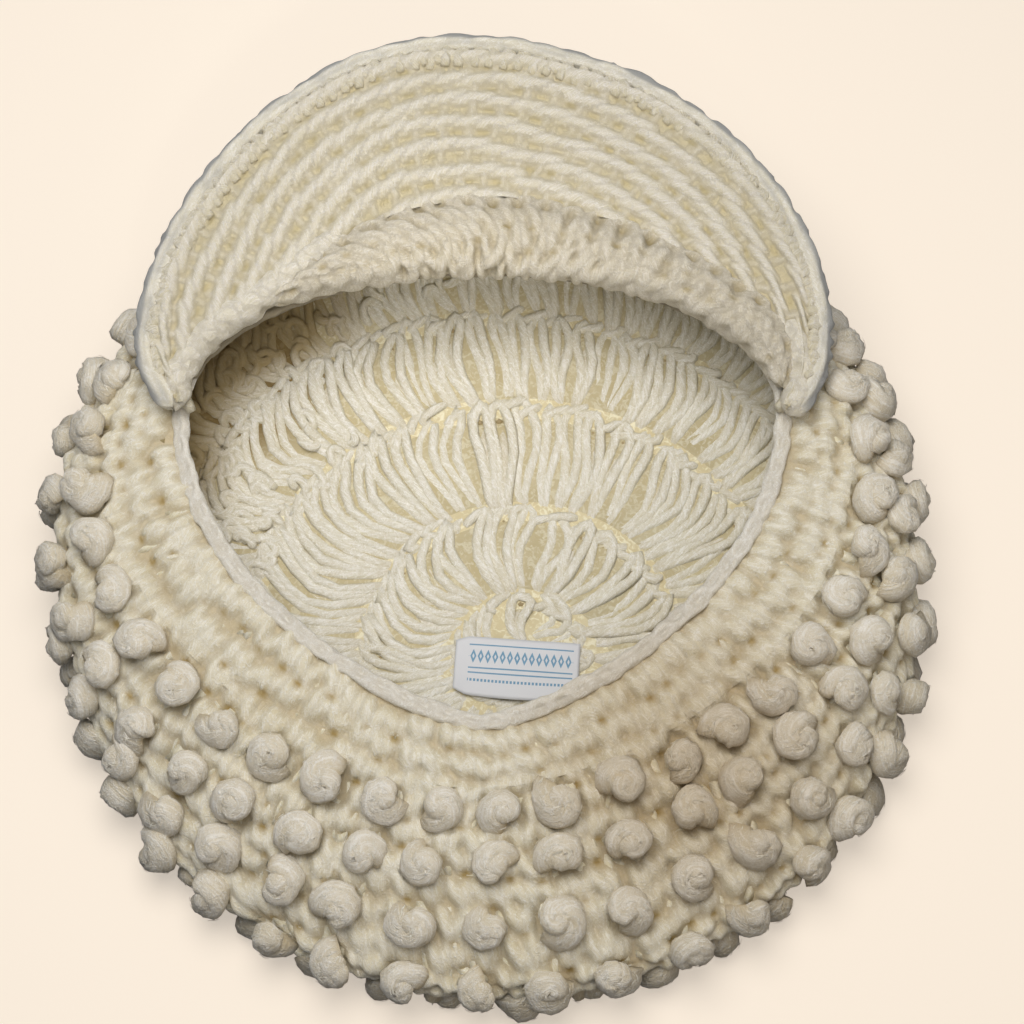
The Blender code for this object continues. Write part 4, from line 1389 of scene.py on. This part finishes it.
def links(surface, places, pitch, wide, radius, seed, knots):
    """Links along a cord, on the lines that places names."""
    strokes = []
    for number, place in enumerate(places):
        row = make_row(surface, place)
        columns, width = even_columns(row, pitch, phase=0.37 * number)
        drawn = draw_row(row, knots, columns, width, wide, 12, jitter=0.10, seed=seed + number, stray=0.8)
        strokes.append(Stroke(*drawn, radius))
    return strokes


def whole(surface):
    """All of a surface, as the span of a skin."""
    return surface.places[0], surface.places[-1]


def shaded_lip(points, _):
    degrees = np.degrees(np.arctan2(points[..., 1] - PEAK_MIDDLE[1], points[..., 0] - PEAK_MIDDLE[0]))
    return LIP_SHADE_MOST * between(degrees, *LIP_SHADE)


lip_middles, lip_outward = on_surface(bag, LIP_EDGING_RADIUS, np.linspace(0.0, 1.0, CORD_COLUMNS), -WALL / 2)
lip_cord = cord_surface(lip_middles, LIP_EDGING_RADIUS, lip_outward, closed=True)
lip_lines = [0.0, LIP_EDGING_RADIUS * TAU / 3, -LIP_EDGING_RADIUS * TAU / 3]
lip_chain = [link for seed, side in zip((40, 43), CHAIN_SIDES)
             for link in links(lip_cord, lip_lines, 7.6, 5.6, 1.4, seed, side)]
skin = felted_skin("opening_chain", lip_cord, whole(lip_cord), 22, 560, lip_chain, [], -1.6, seed=3,
                   tint=shaded_lip, deep=0.12)
dress(skin, YARNS["lip_yarn"], "edging_chain", "opening_edging")

# %% [markdown]
# ## The peak's shape
# The peak is a crescent of two layers. Seen from a middle point, it is described by a few directions: how
# far out its edge is, how wide the turned hem is, and how high the edge stands. As on the bag, these are
# the sizes of the solids.

# %% Sections of the peak
GAP = 0.3
PEAK_THICK, PEAK_EDGE_THICK = 8.0, 6.5
PEAK_EDGING_RADIUS = 3.4
# degrees round the middle, reach, width of the hem, lift
PEAK = np.array([
    (-8.0, 101.0, 0.0, 2.5), (0.0, 108.0, 6.0, 3.0), (14.0, 112.0, 14.0, 3.5), (35.0, 113.0, 19.0, 4.5),
    (55.0, 113.0, 21.0, 5.5), (75.0, 113.0, 22.0, 6.5), (90.0, 115.0, 22.0, 7.0), (108.0, 116.5, 20.5, 6.5),
    (125.0, 114.5, 18.0, 5.5), (145.0, 111.5, 10.0, 4.5), (165.0, 111.0, 0.0, 3.5), (178.0, 109.0, 0.0, 3.0),
    (187.0, 101.0, 0.0, 2.5),
])
PEAK_COLUMNS = 241
LIP_SAMPLES = 1441


def heading(degrees):
    angle = np.radians(degrees)
    return np.stack([np.cos(angle), np.sin(angle), np.zeros_like(angle)], -1)


def lip_in_direction(degrees):
    """Points of the lip of the opening, in directions from the peak's middle."""
    lap = on_round(np.broadcast_to(ROUNDS[0], (LIP_SAMPLES, len(ROUNDS[0]))),
                   np.linspace(0.0, TAU, LIP_SAMPLES))
    seen = np.degrees(np.unwrap(np.arctan2(lap[:, 1] - PEAK_MIDDLE[1], lap[:, 0] - PEAK_MIDDLE[0])))
    seen, lap = np.concatenate([seen - 360.0, seen]), np.concatenate([lap, lap])
    return np.stack([np.interp(degrees, seen, lap[:, axis]) for axis in range(3)], -1)


def edging_line(degrees):
    """Middle line of the peak's edging, and the level way out of it."""
    rows = read_table(PEAK, degrees)
    line = PEAK_MIDDLE + heading(degrees) * rows[:, 1:2]
    line[:, 2] = lip_in_direction(degrees)[:, 2] + GAP + rows[:, 3] + PEAK_EDGE_THICK / 2
    run = np.gradient(line, axis=0)
    return line, unit(np.stack([run[:, 1], -run[:, 0], np.zeros(len(run))], -1))


peak_degrees = np.linspace(PEAK[0, 0], PEAK[-1, 0], PEAK_COLUMNS)
edge_line, edge_outward = edging_line(peak_degrees)
hem_width = np.maximum(read_table(PEAK, peak_degrees)[:, 2:3], 0.0)
peak_near = lip_in_direction(peak_degrees) + heading(peak_degrees) * (hem_width + 1.3 * GAP) + GAP * UP
peak_far = edge_line - edge_outward * (PEAK_EDGING_RADIUS + 2 * GAP) - PEAK_EDGE_THICK / 2 * UP
peak_width = np.linalg.norm(peak_far - peak_near, axis=-1)
out_shares = np.linspace(0.0, 1.0, 25)


def peak_face(top):
    """The upper or lower face of the peak. Its rows run from the hem to the edging."""
    thick = PEAK_THICK + (PEAK_EDGE_THICK - PEAK_THICK) * out_shares
    points = peak_near[None] + (peak_far - peak_near)[None] * out_shares[:, None, None]
    points = points + UP * (thick if top else 0.0 * thick)[:, None, None]
    return make_surface(out_shares, points, closed=False, flip=not top)


peak_top, peak_bottom = peak_face(True), peak_face(False)
print("peak up to", round(float(peak_width.max()), 1), "mm wide")

# %% [markdown]
# ## The crochet of the peak
# Firm rows of single crochet follow the outer edge, seven deep in the middle. A row ends where the crescent
# has no room for it. The stitches lean, so each row reads as a slanted rope, with a dimple under each
# stitch.

# %% Stitches of the peak
PEAK_ROW = 8.1
PEAK_ROWS = 9
FIRST_ROW = 0.24                                    # of a row's height, from the edging
PEAK_PITCH, PEAK_PITCH_STEP = 9.6, 0.36             # at the edge, and how much narrower each row inside is
FRONT_LOOP = [(0.68, 0.14, -2.6), (0.38, 0.06, -1.9), (0.0, -0.02, -1.3), (-0.38, -0.10, -1.7),
              (-0.68, -0.20, -2.6)]
POST = [(-0.10, -0.62, -2.6), (-0.05, -0.25, -2.1), (0.03, 0.25, -2.0), (0.12, 0.62, -2.4)]
DIMPLE = [(-0.40, 0.46, 0.0), (-0.52, 0.46, 0.0), (-0.62, 0.46, 0.0)]


def peak_rows(surface, seed, points=12):
    """Rows at fixed distances from the edging, over a face of the peak: strokes and dimples."""
    strokes, dimples = [], []
    share = np.linspace(0.0, 1.0, PEAK_COLUMNS)
    for number in range(PEAK_ROWS):
        distance = (number + FIRST_ROW) * PEAK_ROW
        wide_enough = share[peak_width - distance > 0.0]
        if len(wide_enough) < 6:
            break
        start, end = wide_enough[0], wide_enough[-1]
        width = np.interp(np.linspace(start, end, ROW_SAMPLES), share, peak_width)
        row = make_row(surface, 1.0 - distance / width, -1.0 / width, start, end)
        columns, pitch = even_columns(row, PEAK_PITCH - PEAK_PITCH_STEP * number)
        for knots, radius, count, made in ((FRONT_LOOP, 2.15, points, strokes), (POST, 1.2, points, strokes),
                                           (DIMPLE, 1.0, 3, dimples)):
            made.append(Stroke(*draw_row(row, knots, columns, pitch, PEAK_ROW, count, jitter=0.07,
                                         seed=seed * 100 + number, stray=0.8, size=20.0), radius))
    return strokes, dimples


def peak_ground():
    """A flat pad between the two faces, away from the peak's two tips."""
    inner = slice(12, -12)
    points = (peak_top.points + peak_bottom.points) / 2
    middle = Surface(out_shares, points[:, inner], peak_top.normals[:, inner], False)
    return ground_sheet("peak_ground", middle, 0.0, 0.98, 12, 90, 0.0, thick=1.6)


dress(peak_ground(), GROUND, "peak_crochet")
skin = felted_skin("peak_stitches", peak_top, whole(peak_top), 56, 400, *peak_rows(peak_top, 21), -2.0,
                   dent=0.3, seed=4, deep=0.75)
dress(skin, YARNS["peak_yarn"], "peak_crochet", "peak")
underneath = [bend_strands(*on_surface(peak_bottom, stroke.place, stroke.share, stroke.out + 0.9),
                           stroke.radius, sides=5, depth=0.1)
              for stroke in peak_rows(peak_bottom, 22, points=5)[0]]
dress(join_strands("peak_underside", underneath), YARNS["peak_yarn"], "peak_crochet")

# %% [markdown]
# ## The hem of the peak
# Along the front of the opening the peak's inner edge is turned in and puffed. It is a soft roll with a row
# of arches along its back, slanted stitches over its crest, and fat lumps where it hangs over the opening.
# Its surface is the outline of the roll, drawn at each direction.

# %% Surface of the hem
HEM_ENDS = (-3.0, 161.0)                            # degrees round the peak's middle
HEM_COLUMNS = 241
# round the roll, from its back, over the crest, to below the edge
HEM_ANGLES = np.linspace(-0.3 * math.pi, 1.45 * math.pi, 43)
HEM_THICK, HEM_EDGE_SHARE, HEM_END_SHARE, HEM_CREST = 13.0, 0.75, 0.45, 0.3
HEM_OVERHANG, HEM_FULL_WIDTH, HEM_OVER_PEAK = 4.0, 12.0, 2.6
HEM_TIP = 18.0                                      # how far from its ends the hem is full


def hem_surface():
    degrees = np.linspace(*HEM_ENDS, HEM_COLUMNS)
    width = np.maximum(read_table(PEAK, degrees)[:, 2], 1.0)
    share = np.minimum(width / HEM_FULL_WIDTH, 1.0)
    thick = HEM_THICK * (HEM_END_SHARE + (1 - HEM_END_SHARE) * share)
    seat, way = lip_in_direction(degrees) + GAP * UP, heading(degrees)
    near = seat - way * (HEM_OVERHANG * share)[:, None]
    far = seat + way * (width + HEM_OVER_PEAK * share)[:, None]
    rows = []
    for angle in HEM_ANGLES:
        out = 0.5 + 0.5 * np.cos(angle)
        full = (thick * HEM_EDGE_SHARE * (1 - out) + PEAK_THICK * out
                + thick * HEM_CREST * math.sin(math.pi * out))
        bulge = np.sign(math.sin(angle)) * abs(math.sin(angle)) ** 0.75
        rows.append(near + (far - near) * out + UP * (full * (0.5 + 0.5 * bulge))[:, None])
    points = round_ends(np.stack(rows), HEM_TIP)
    return make_surface(lengths_along(points[:, HEM_COLUMNS // 2]), points, closed=False, flip=True)


hem = hem_surface()
print("the hem measures", round(float(hem.places[-1]), 1), "mm over its crest")

# %% Stitches of the hem
HEM_PITCH = 8.8
HEM_ROW, ROLL_ROW = 9.0, 6.5
# across the stitch, towards the opening, height
ARCH = [(-0.42, 0.36, -2.2), (-0.40, 0.05, -1.2), (-0.22, -0.28, -0.6), (0.05, -0.38, -0.4),
        (0.30, -0.22, -0.6), (0.36, 0.10, -1.2), (0.22, 0.30, -2.0)]
HEM_LEFT = [(0.30, -0.60, -2.6), (0.12, -0.34, -1.7), (-0.10, -0.02, -1.2), (-0.28, 0.30, -1.6),
            (-0.40, 0.56, -2.6)]
HEM_RIGHT = [(0.52, -0.56, -2.6), (0.42, -0.30, -2.0), (0.30, 0.02, -1.5), (0.18, 0.32, -1.7),
             (0.06, 0.58, -2.6)]
LUMP_LEFT = [(-0.30, -0.48, -2.4), (-0.34, -0.18, -1.5), (-0.22, 0.14, -1.0), (0.02, 0.36, -1.2),
             (0.20, 0.46, -2.4)]
LUMP_RIGHT = [(0.34, -0.48, -2.6), (0.34, -0.20, -1.8), (0.26, 0.08, -1.3), (0.16, 0.26, -1.5),
              (0.05, 0.36, -2.5)]
HEM_HOLE = [(-0.06, 0.06, 0.0), (0.0, 0.04, 0.0), (0.06, 0.06, 0.0)]
# share of the way over the hem, strand, radius, seed, phase, points
HEM_ROWS = [
    (0.12, HEM_LEFT, 2.3, 48, 0.0, 12), (0.17, HEM_RIGHT, 2.2, 49, 0.5, 12), (0.24, ARCH, 1.8, 50, 0.0, 20),
    (0.37, HEM_LEFT, 2.2, 51, 0.0, 12), (0.37, HEM_RIGHT, 2.1, 54, 0.0, 12),
    (0.50, HEM_LEFT, 2.2, 52, 0.5, 12), (0.50, HEM_RIGHT, 2.1, 55, 0.5, 12),
    (0.64, LUMP_LEFT, 2.9, 60, 0.1, 12), (0.64, LUMP_RIGHT, 2.7, 65, 0.1, 12),
    (0.78, LUMP_LEFT, 2.9, 61, 0.55, 12), (0.78, LUMP_RIGHT, 2.7, 66, 0.55, 12),
    (0.92, LUMP_LEFT, 2.9, 62, 0.2, 12), (0.92, LUMP_RIGHT, 2.7, 67, 0.2, 12),
]
HEM_HOLES = [(0.24, HEM_HOLE, 1.8, 50, 0.0, 3), (0.435, HEM_HOLE, 1.2, 56, 0.25, 3),
             (0.57, HEM_HOLE, 1.2, 57, 0.75, 3)]


def roll_row(surface, place, knots, radius, seed, phase=0.0, points=12, tall=HEM_ROW):
    """A row of strands along a roll of fabric, such as the hem."""
    row = make_row(surface, place)
    columns, width = even_columns(row, HEM_PITCH, phase)
    columns = columns[columns < row.length[-1] - 1.0]
    drawn = draw_row(row, knots, columns, width, tall, points, jitter=0.10, seed=seed, stray=1.0, size=14.0)
    return Stroke(*drawn, radius)


hem_strokes, hem_holes = ([roll_row(hem, hem.places[-1] * share, *settings) for share, *settings in rows]
                          for rows in (HEM_ROWS, HEM_HOLES))
skin = felted_skin("hem_stitches", hem, whole(hem), 52, 300, hem_strokes, hem_holes, -2.2, dent=1.6, seed=5,
                   deep=0.5)
dress(skin, YARNS["hem_yarn"], "hem_crochet", "peak_hem")

# %% [markdown]
# Past the ends of the hem the peak's inner edge is only rolled over. Fat strands are laid round that edge,
# as on a cord that is as thick as the peak.

# %% The rolled inner edge at the peak's two ends
ROLL_RADIUS, ROLL_INSET = 4.2, 3.2
ROLL_TURNS = (0.36, 0.20, 0.04, -0.12, -0.28)       # where the rows lie on the roll, from its top to below


def rolled_edge(name, start, end, seed):
    """A rolled edge between two directions, in degrees round the peak's middle."""
    degrees = np.linspace(start, end, 121)
    near = np.stack([np.interp(degrees, peak_degrees, peak_near[:, axis]) for axis in range(3)], -1)
    middles = near + heading(degrees) * ROLL_INSET + PEAK_THICK / 2 * UP
    roll = cord_surface(middles, ROLL_RADIUS, -heading(degrees), closed=False)
    strokes = [roll_row(roll, turn * TAU * ROLL_RADIUS, knots, radius, seed + more + number,
                        0.4 * (number % 2), tall=ROLL_ROW)
               for number, turn in enumerate(ROLL_TURNS)
               for knots, radius, more in ((LUMP_LEFT, 2.5, 0), (LUMP_RIGHT, 2.4, 9))]
    columns = int(float(lengths_along(middles)[-1]) / 1.1)
    return felted_skin(name, roll, whole(roll), 25, columns, strokes, [], -1.8, seed=seed, deep=0.5,
                       tube=True)


for name, start, end, seed in (("peak_rolled_edge_0", 134.0, 187.0, 120),
                               ("peak_rolled_edge_1", -8.0, 10.0, 140)):
    dress(rolled_edge(name, start, end, seed), YARNS["peak_yarn"], "peak_crochet")

# %% [markdown]
# The peak's edging is a cord of fat smooth links outside and slanted ones inside. Its outer side, which faces
# away from the light, is painted grey as shade. A row of short slanted strands closes the peak to it.

# %% The chain round the peak
edge_middles, edge_out = edging_line(np.linspace(PEAK[0, 0], PEAK[-1, 0], CORD_COLUMNS))
edge_cord = cord_surface(edge_middles, PEAK_EDGING_RADIUS, edge_out + 0.6 * UP, closed=False)
SMOOTH_LINK = [(-0.62, 0.0, -2.5), (-0.34, 0.0, -1.8), (0.0, 0.0, -1.5), (0.34, 0.0, -1.7), (0.62, 0.0, -2.5)]
SLANTED_LINK = [(-0.16, -0.50, -2.0), (-0.10, -0.20, -1.1), (0.0, 0.10, -0.9), (0.12, 0.50, -1.8)]
EDGE_HOLE = [(0.40, 0.0, 0.0), (0.46, 0.0, 0.0), (0.52, 0.0, 0.0)]
EDGE_TURN = PEAK_EDGING_RADIUS * TAU
OUTER_LINES = [EDGE_TURN * turn for turn in (0.02, -0.13, -0.28, -0.43)]
INNER_LINES = [EDGE_TURN * turn for turn in (0.16, 0.29, 0.42)]
HOLE_LINES = [EDGE_TURN * 0.07]


def painted_shade_outside(points, facing):
    """Painted grey shade on the outer side of the edging, which faces away from the light."""
    flat = (points - PEAK_MIDDLE) * [1.0, 1.0, 0.0]
    side = (facing * (unit(flat) * 0.93 + 0.25 * UP)).sum(-1)
    return 0.9 * np.clip((side - 0.25) / 0.55, 0.0, 1.0) ** 1.5


edge_strokes = links(edge_cord, OUTER_LINES, 11.0, 6.0, 1.7, 45, SMOOTH_LINK) + links(
    edge_cord, INNER_LINES, 5.5, 5.0, 1.6, 46, SLANTED_LINK)
edge_holes = links(edge_cord, HOLE_LINES, 11.0, 6.0, 1.1, 47, EDGE_HOLE)
skin = felted_skin("peak_chain", edge_cord, whole(edge_cord), 24, 400, edge_strokes, edge_holes, -1.4,
                   seed=6, dent=1.8, tint=painted_shade_outside, tube=True)
dress(skin, YARNS["edging_yarn"], "edging_chain", "peak_edging")

# %% Joining stitches
JOINING_PITCH = 5.2
JOINING_RISE = np.array([-0.6, 0.2, 0.55, 0.6, 0.3, -0.6])
# painted shade at the two ends, where the strands go into the fabric
JOINING_DEPTH = [0.3, 0.0, 0.0, 0.0, 0.0, 0.3]


def joining_stitches(seed):
    """Fat slanted strands that close the peak to its edging."""
    random = np.random.default_rng(seed)
    columns, _ = even_columns(make_row(edge_cord, EDGE_TURN * 0.25), JOINING_PITCH)
    along = columns / lengths_along(edge_middles)[-1]
    along = along[(along > 0.03) & (along < 0.97)] + random.normal(0.0, 0.0006, len(columns))[:1]
    batches = []
    for part, (slant, far, radius) in enumerate(((0.006, 0.90, 2.0), (-0.004, 0.93, 1.8))):
        first, facing = on_surface(edge_cord, EDGE_TURN * 0.20, along + 0.004 * part, -1.2)
        last, _ = on_surface(peak_top, far, along + slant, -1.3)
        share = np.linspace(0.0, 1.0, len(JOINING_RISE))[None, :, None]
        lines = first[:, None] * (1 - share) + last[:, None] * share + JOINING_RISE[None, :, None] * UP
        lines += random.normal(0.0, 0.25, (len(along), 1, 3))
        batches.append(bend_strands(lines, unit(facing + UP)[:, None], radius, depth=JOINING_DEPTH, sides=8,
                                    seed=seed + part))
    return batches


dress(join_strands("peak_joining", joining_stitches(81)), YARNS["peak_yarn"], "peak_crochet")

# %% [markdown]
# ## The label
# A short piece of white woven satin tape is sewn inside the crown. It is a thin sheet that bows a little
# and narrows at its left end. Where a label would be printed, this one has a plain woven pattern of thin
# lines and small lozenges.

# %% Label tape
LABEL_LENGTH, LABEL_WIDTH, LABEL_THICK = 40.5, 19.0, 0.35
LABEL_HEIGHT = 12.5
LABEL_FOLD, LABEL_NARROWS = 0.10, 0.22              # shares of its length and width, at its left end
LABEL_BOW, LABEL_WAVE, LABEL_LIFT = 0.75, 0.35, 0.5
LOZENGES, DASHES = 17.0, 34.0
LABEL_TURN = math.radians(-4.0)
BLUE, WHITE, SHADED_WHITE = (0.03, 0.22, 0.40), (0.72, 0.72, 0.74), (0.62, 0.64, 0.69)


def label_shape(flat):
    """Places of points of the tape. flat: 0 to 1 along it and across it."""
    along, up = flat[:, 0], flat[:, 1]
    fold = between(along, LABEL_FOLD, 0.0)
    y = (up - 0.5) * LABEL_WIDTH * (1 - LABEL_NARROWS * fold) + 1.2 * fold * (up - 0.45)
    y = y - 1.6 * np.sin(np.pi * np.clip(along, 0.0, 1.0)) * np.clip(0.55 - up, 0.0, 1.0) * 1.6
    z = (LABEL_HEIGHT + LABEL_BOW * np.cos(np.pi * (along - 0.5))
         + LABEL_WAVE * np.sin(7.0 * along + 1.0) * (up - 0.5) * 2 + LABEL_LIFT * fold * np.sin(np.pi * up))
    cosine, sine = math.cos(LABEL_TURN), math.sin(LABEL_TURN)
    turn = np.array([[cosine, sine], [-sine, cosine]])
    plan = np.stack([(along - 0.5) * LABEL_LENGTH, y], -1) @ turn + LABEL_MIDDLE
    return np.concatenate([plan, z[:, None]], axis=1)


def distance_from(value, middle):
    return maths("ABSOLUTE", maths("SUBTRACT", value, middle))


def woven_pattern(along, up):
    """1 where the blue thread shows: a row of open lozenges, a row of dashes, and three lines."""
    sideways = distance_from(maths("FRACT", maths("MULTIPLY", along, LOZENGES)), 0.5)
    lozenge = maths("ADD", sideways, maths("MULTIPLY", distance_from(up, 0.66), 3.4))
    pattern = maths("SUBTRACT", maths("LESS_THAN", lozenge, 0.42), maths("LESS_THAN", lozenge, 0.16))
    dashes = maths("GREATER_THAN", maths("FRACT", maths("MULTIPLY", along, DASHES)), 0.4)
    dashes = maths("MULTIPLY", maths("LESS_THAN", distance_from(up, 0.26), 0.022), dashes)
    pattern = maths("MAXIMUM", pattern, dashes)
    for middle in (0.86, 0.46, 0.38):
        pattern = maths("MAXIMUM", pattern, maths("LESS_THAN", distance_from(up, middle), 0.012))
    return maths("MULTIPLY", pattern, maths("LESS_THAN", distance_from(along, 0.53), 0.42))


def label_material():
    """White satin with a woven pattern."""
    material, tree, shader = new_material("label_satin")
    uv = new_node(tree, "ShaderNodeUVMap", uv_map="tape").outputs[0]
    split = new_node(tree, "ShaderNodeSeparateXYZ", {0: uv}).outputs
    weave = new_node(tree, "ShaderNodeTexWave", {"Vector": uv, "Scale": 60.0, "Distortion": 1.5},
                     wave_type="BANDS", bands_direction="X").outputs["Fac"]
    inked = maths("MULTIPLY", woven_pattern(split["X"], split["Y"]), 0.85)
    wire(shader, {"Base Color": mix(inked, mix(weave, SHADED_WHITE, WHITE), BLUE),
                  "Normal": bumped(weave, 0.25, 0.1), "Roughness": 0.42, "Sheen Weight": 0.2})
    return material


def add_label():
    mesh = bmesh.new()
    bmesh.ops.create_grid(mesh, x_segments=44, y_segments=18, size=0.5, calc_uvs=False)
    vertices = list(mesh.verts)
    flat = np.array([vertex.co for vertex in vertices])[:, :2] + 0.5
    layer = mesh.loops.layers.uv.new("tape")
    for face in mesh.faces:
        for loop in face.loops:
            loop[layer].uv = (loop.vert.co.x + 0.5, loop.vert.co.y + 0.5)
    for vertex, point in zip(vertices, label_shape(flat) * MM):
        vertex.co = point
    tape = mesh_object("label_tape", mesh)
    thicken(tape, LABEL_THICK, 1.0)
    return tape


tape = dress(add_label(), label_material(), "label_satin", "label")
print("label", LABEL_LENGTH, "x", LABEL_WIDTH, "mm")

# %% [markdown]
# ## Fuzz
# Fine loose fibres lie on the bobbles and soften them. Each is a spindle far thinner than the yarn, with
# pointed ends and one soft bend. There are thousands, with few triangles each. They cast no shadow, as
# single fibres hardly do.

# %% Fibres
WISPS = 8000                                        # tries: some fall where they would face inwards
WISP_RADIUS, WISP_FLAT, WISP_LONG = 0.17, 0.70, 3.4
WISP_BEND, WISP_SPREAD = 0.10, 0.3                  # how far one bends, and turns from its strand
WISP_SINK = 0.12                                    # how deep its ends lie
FACING_OUT = 0.25                                   # least agreement with the way that the fabric faces


def wisp_lines(base, way, out, random):
    """Curved lines of four points through places, each along its own way."""
    count = len(base)
    half = way * WISP_LONG / 2 * random.uniform(0.5, 1.4, (count, 1))
    bend = np.cross(way, out) * random.normal(0.0, WISP_BEND, (count, 1)) * WISP_LONG
    return np.stack([base - half - WISP_SINK * out, base - 0.35 * half + bend, base + 0.35 * half + bend,
                     base + half - WISP_SINK * out], axis=1)


def wisps(batches, seed):
    """Wisps on strands, on the side that faces out."""
    random = np.random.default_rng(seed)
    sizes = np.array([batch.depth.size for batch in batches], float)
    made = []
    for batch, many in zip(batches, random.multinomial(WISPS, sizes / sizes.sum())):
        rings = batch.strand.ring.max() + 1
        middles = np.stack([batch.points[:, batch.strand.ring == ring].mean(axis=1) for ring in range(rings)],
                           axis=1)
        ways = unit(np.gradient(middles, axis=1))
        tries = 4 * many
        which = random.integers(0, len(batch.points), tries)
        corner = random.integers(0, len(batch.strand.ring), tries)
        ring = batch.strand.ring[corner]
        base, facing, along = batch.points[which, corner], batch.facing[which, ring], ways[which, ring]
        out = unit(base - middles[which, ring])
        chosen = np.flatnonzero((ring > 0) & (ring < rings - 1) & ((out * facing).sum(-1) > FACING_OUT))[:many]
        if not len(chosen):
            continue
        base, along, out = base[chosen], along[chosen], out[chosen]
        angle = random.normal(0.0, WISP_SPREAD, (len(chosen), 1))
        way = along * np.cos(angle) + np.cross(out, along) * np.sin(angle)
        lines = wisp_lines(base + 0.1 * out, way, out, random)
        made.append(bend_strands(lines, out[:, None], WISP_RADIUS, sides=4, seed=seed, pointed=True,
                                 flat=WISP_FLAT))
    return rest_on_floor(made)


fuzz = dress(join_strands("bobble_fuzz", wisps(seen_bobbles, 106)), YARNS["fuzz_yarn"], "bobble_crochet")
fuzz.visible_shadow = False
